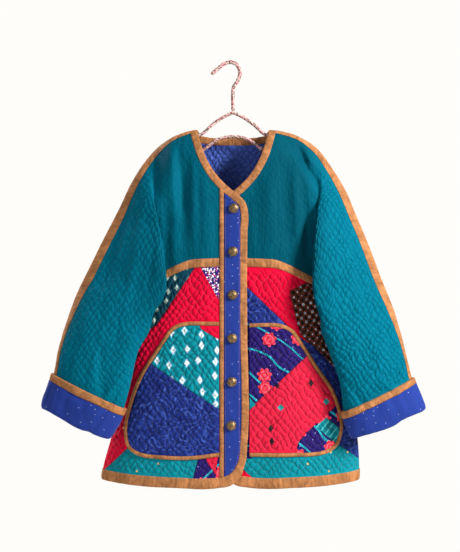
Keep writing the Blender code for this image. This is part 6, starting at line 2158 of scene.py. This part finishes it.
class JACKET_OT_stitches(bpy.types.Operator):
    """Sew stitches along the trim"""

    bl_idname = "jacket.stitches"
    bl_label = "Topstitching"

    def execute(self, context):
        settings = context.scene.jacket
        tree, sizes = stitch_tree(Finishes.get("thread"))
        for group, lines in Sewing.lines.items():
            path = bpy.data.meshes.new("sewing_path")
            points, edges = [], []
            for line in lines:
                start = len(points)
                points += [tuple(point) for point in line]
                edges += [(start + index, start + index + 1) for index in range(len(line) - 1)]
            path.from_pydata(points, edges, [])
            carrier = bpy.data.objects.new("sewing_path", path)
            context.scene.collection.objects.link(carrier)
            modifier = carrier.modifiers.new("topstitching", "NODES")
            modifier.node_group = tree
            modifier[sizes["Pitch"]] = settings.stitch_pitch
            modifier[sizes["Length"]] = settings.stitch_length
            modifier[sizes["Width"]] = settings.stitch_width
            context.view_layer.update()
            seen = carrier.evaluated_get(context.evaluated_depsgraph_get())
            mesh = bpy.data.meshes.new_from_object(seen)
            mesh.name = "stitches_" + group
            mesh.shade_smooth()
            bpy.data.objects.remove(carrier)
            piece = bpy.data.objects.new("stitches_" + group, mesh)
            context.scene.collection.objects.link(piece)
            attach(piece, "root")
        return {"FINISHED"}


class JACKET_OT_declare(bpy.types.Operator):
    """A step that does nothing: no flat cut of any piece of cloth is stated"""

    bl_idname = "jacket.declare"
    bl_label = "State the cuts"

    def execute(self, context):
        return {"FINISHED"}


class JACKET_OT_stage(bpy.types.Operator):
    """Set up the floor, the light and the camera"""

    bl_idname = "jacket.stage"
    bl_label = "Floor, light and camera"

    def execute(self, context):
        scene = context.scene
        camera_data = bpy.data.cameras.new("camera")
        camera_data.sensor_width = SENSOR
        camera_data.lens = SENSOR * CAMERA_DISTANCE / VIEW_HEIGHT
        camera = bpy.data.objects.new("camera", camera_data)
        camera.location = (VIEW_X, -CAMERA_DISTANCE, VIEW_Z)
        camera.rotation_euler = (math.pi / 2, 0, 0)
        scene.collection.objects.link(camera)
        scene.camera = camera

        finish = Finish("floor_paint", 0.9)
        grain = finish.noise(finish.object_place(), 3.0, 2.0)
        pale = finish.close(finish.mix(finish.times(grain, 0.15), linear("f4efe6"), linear("e9e2d6")))
        turns = np.linspace(0, 2 * math.pi, FLOOR_STEPS, endpoint=False)
        points = [(FLOOR_RADIUS * math.cos(turn), FLOOR_RADIUS * math.sin(turn), FLOOR_Z) for turn in turns]
        mesh = bpy.data.meshes.new("floor")
        mesh.from_pydata(points, [], [tuple(range(FLOOR_STEPS))])
        mesh.materials.append(pale)
        floor = bpy.data.objects.new("floor", mesh)
        scene.collection.objects.link(floor)

        for name, place, size, power, colour in LIGHTS:
            lamp = bpy.data.lights.new(name, "AREA")
            lamp.size = size
            lamp.energy = power
            lamp.color = colour
            made = bpy.data.objects.new(name, lamp)
            made.location = place
            aim = Vector(LIT_PLACE) - Vector(place)
            made.rotation_euler = aim.to_track_quat("-Z", "Y").to_euler()
            scene.collection.objects.link(made)
        world = bpy.data.worlds.new("studio")
        world.use_nodes = True
        tree = world.node_tree
        seen = tree.nodes.new("ShaderNodeLightPath").outputs["Is Camera Ray"]
        strength = tree.nodes.new("ShaderNodeMapRange")
        strength.inputs["To Min"].default_value = ROOM_LIGHT
        strength.inputs["To Max"].default_value = 1.0
        tree.links.new(seen, strength.inputs["Value"])
        tree.links.new(strength.outputs[0], tree.nodes["Background"].inputs["Strength"])
        tree.nodes["Background"].inputs["Color"].default_value = ROOM_COLOUR
        scene.world = world
        scene.view_settings.view_transform = "Standard"
        return {"FINISHED"}


OPERATORS = (
    JACKET_OT_stage, JACKET_OT_panels, JACKET_OT_lining, JACKET_OT_bands, JACKET_OT_bindings, JACKET_OT_cuffs,
    JACKET_OT_placket, JACKET_OT_pockets, JACKET_OT_buttons, JACKET_OT_hanger, JACKET_OT_stitches,
    JACKET_OT_declare,
)


class JACKET_PT_pieces(bpy.types.Panel):
    """The jacket's sizes, colours and building steps"""

    bl_idname = "JACKET_PT_pieces"
    bl_label = "Quilted jacket"
    bl_space_type = "VIEW_3D"
    bl_region_type = "UI"
    bl_category = "Jacket"

    def draw(self, context):
        for name in JacketSettings.__annotations__:
            self.layout.prop(context.scene.jacket, name)
        for operator in OPERATORS:
            self.layout.operator(operator.bl_idname)


def register():
    bpy.utils.register_class(JacketSettings)
    for operator in OPERATORS:
        bpy.utils.register_class(operator)
    bpy.utils.register_class(JACKET_PT_pieces)
    bpy.types.Scene.jacket = bpy.props.PointerProperty(type=JacketSettings)


def unregister():
    del bpy.types.Scene.jacket
    bpy.utils.unregister_class(JACKET_PT_pieces)
    for operator in reversed(OPERATORS):
        bpy.utils.unregister_class(operator)
    bpy.utils.unregister_class(JacketSettings)


def main():
    register()
    for operator in OPERATORS:
        group, name = operator.bl_idname.split(".")
        getattr(getattr(bpy.ops, group), name)()


if __name__ == "__main__":
    main()
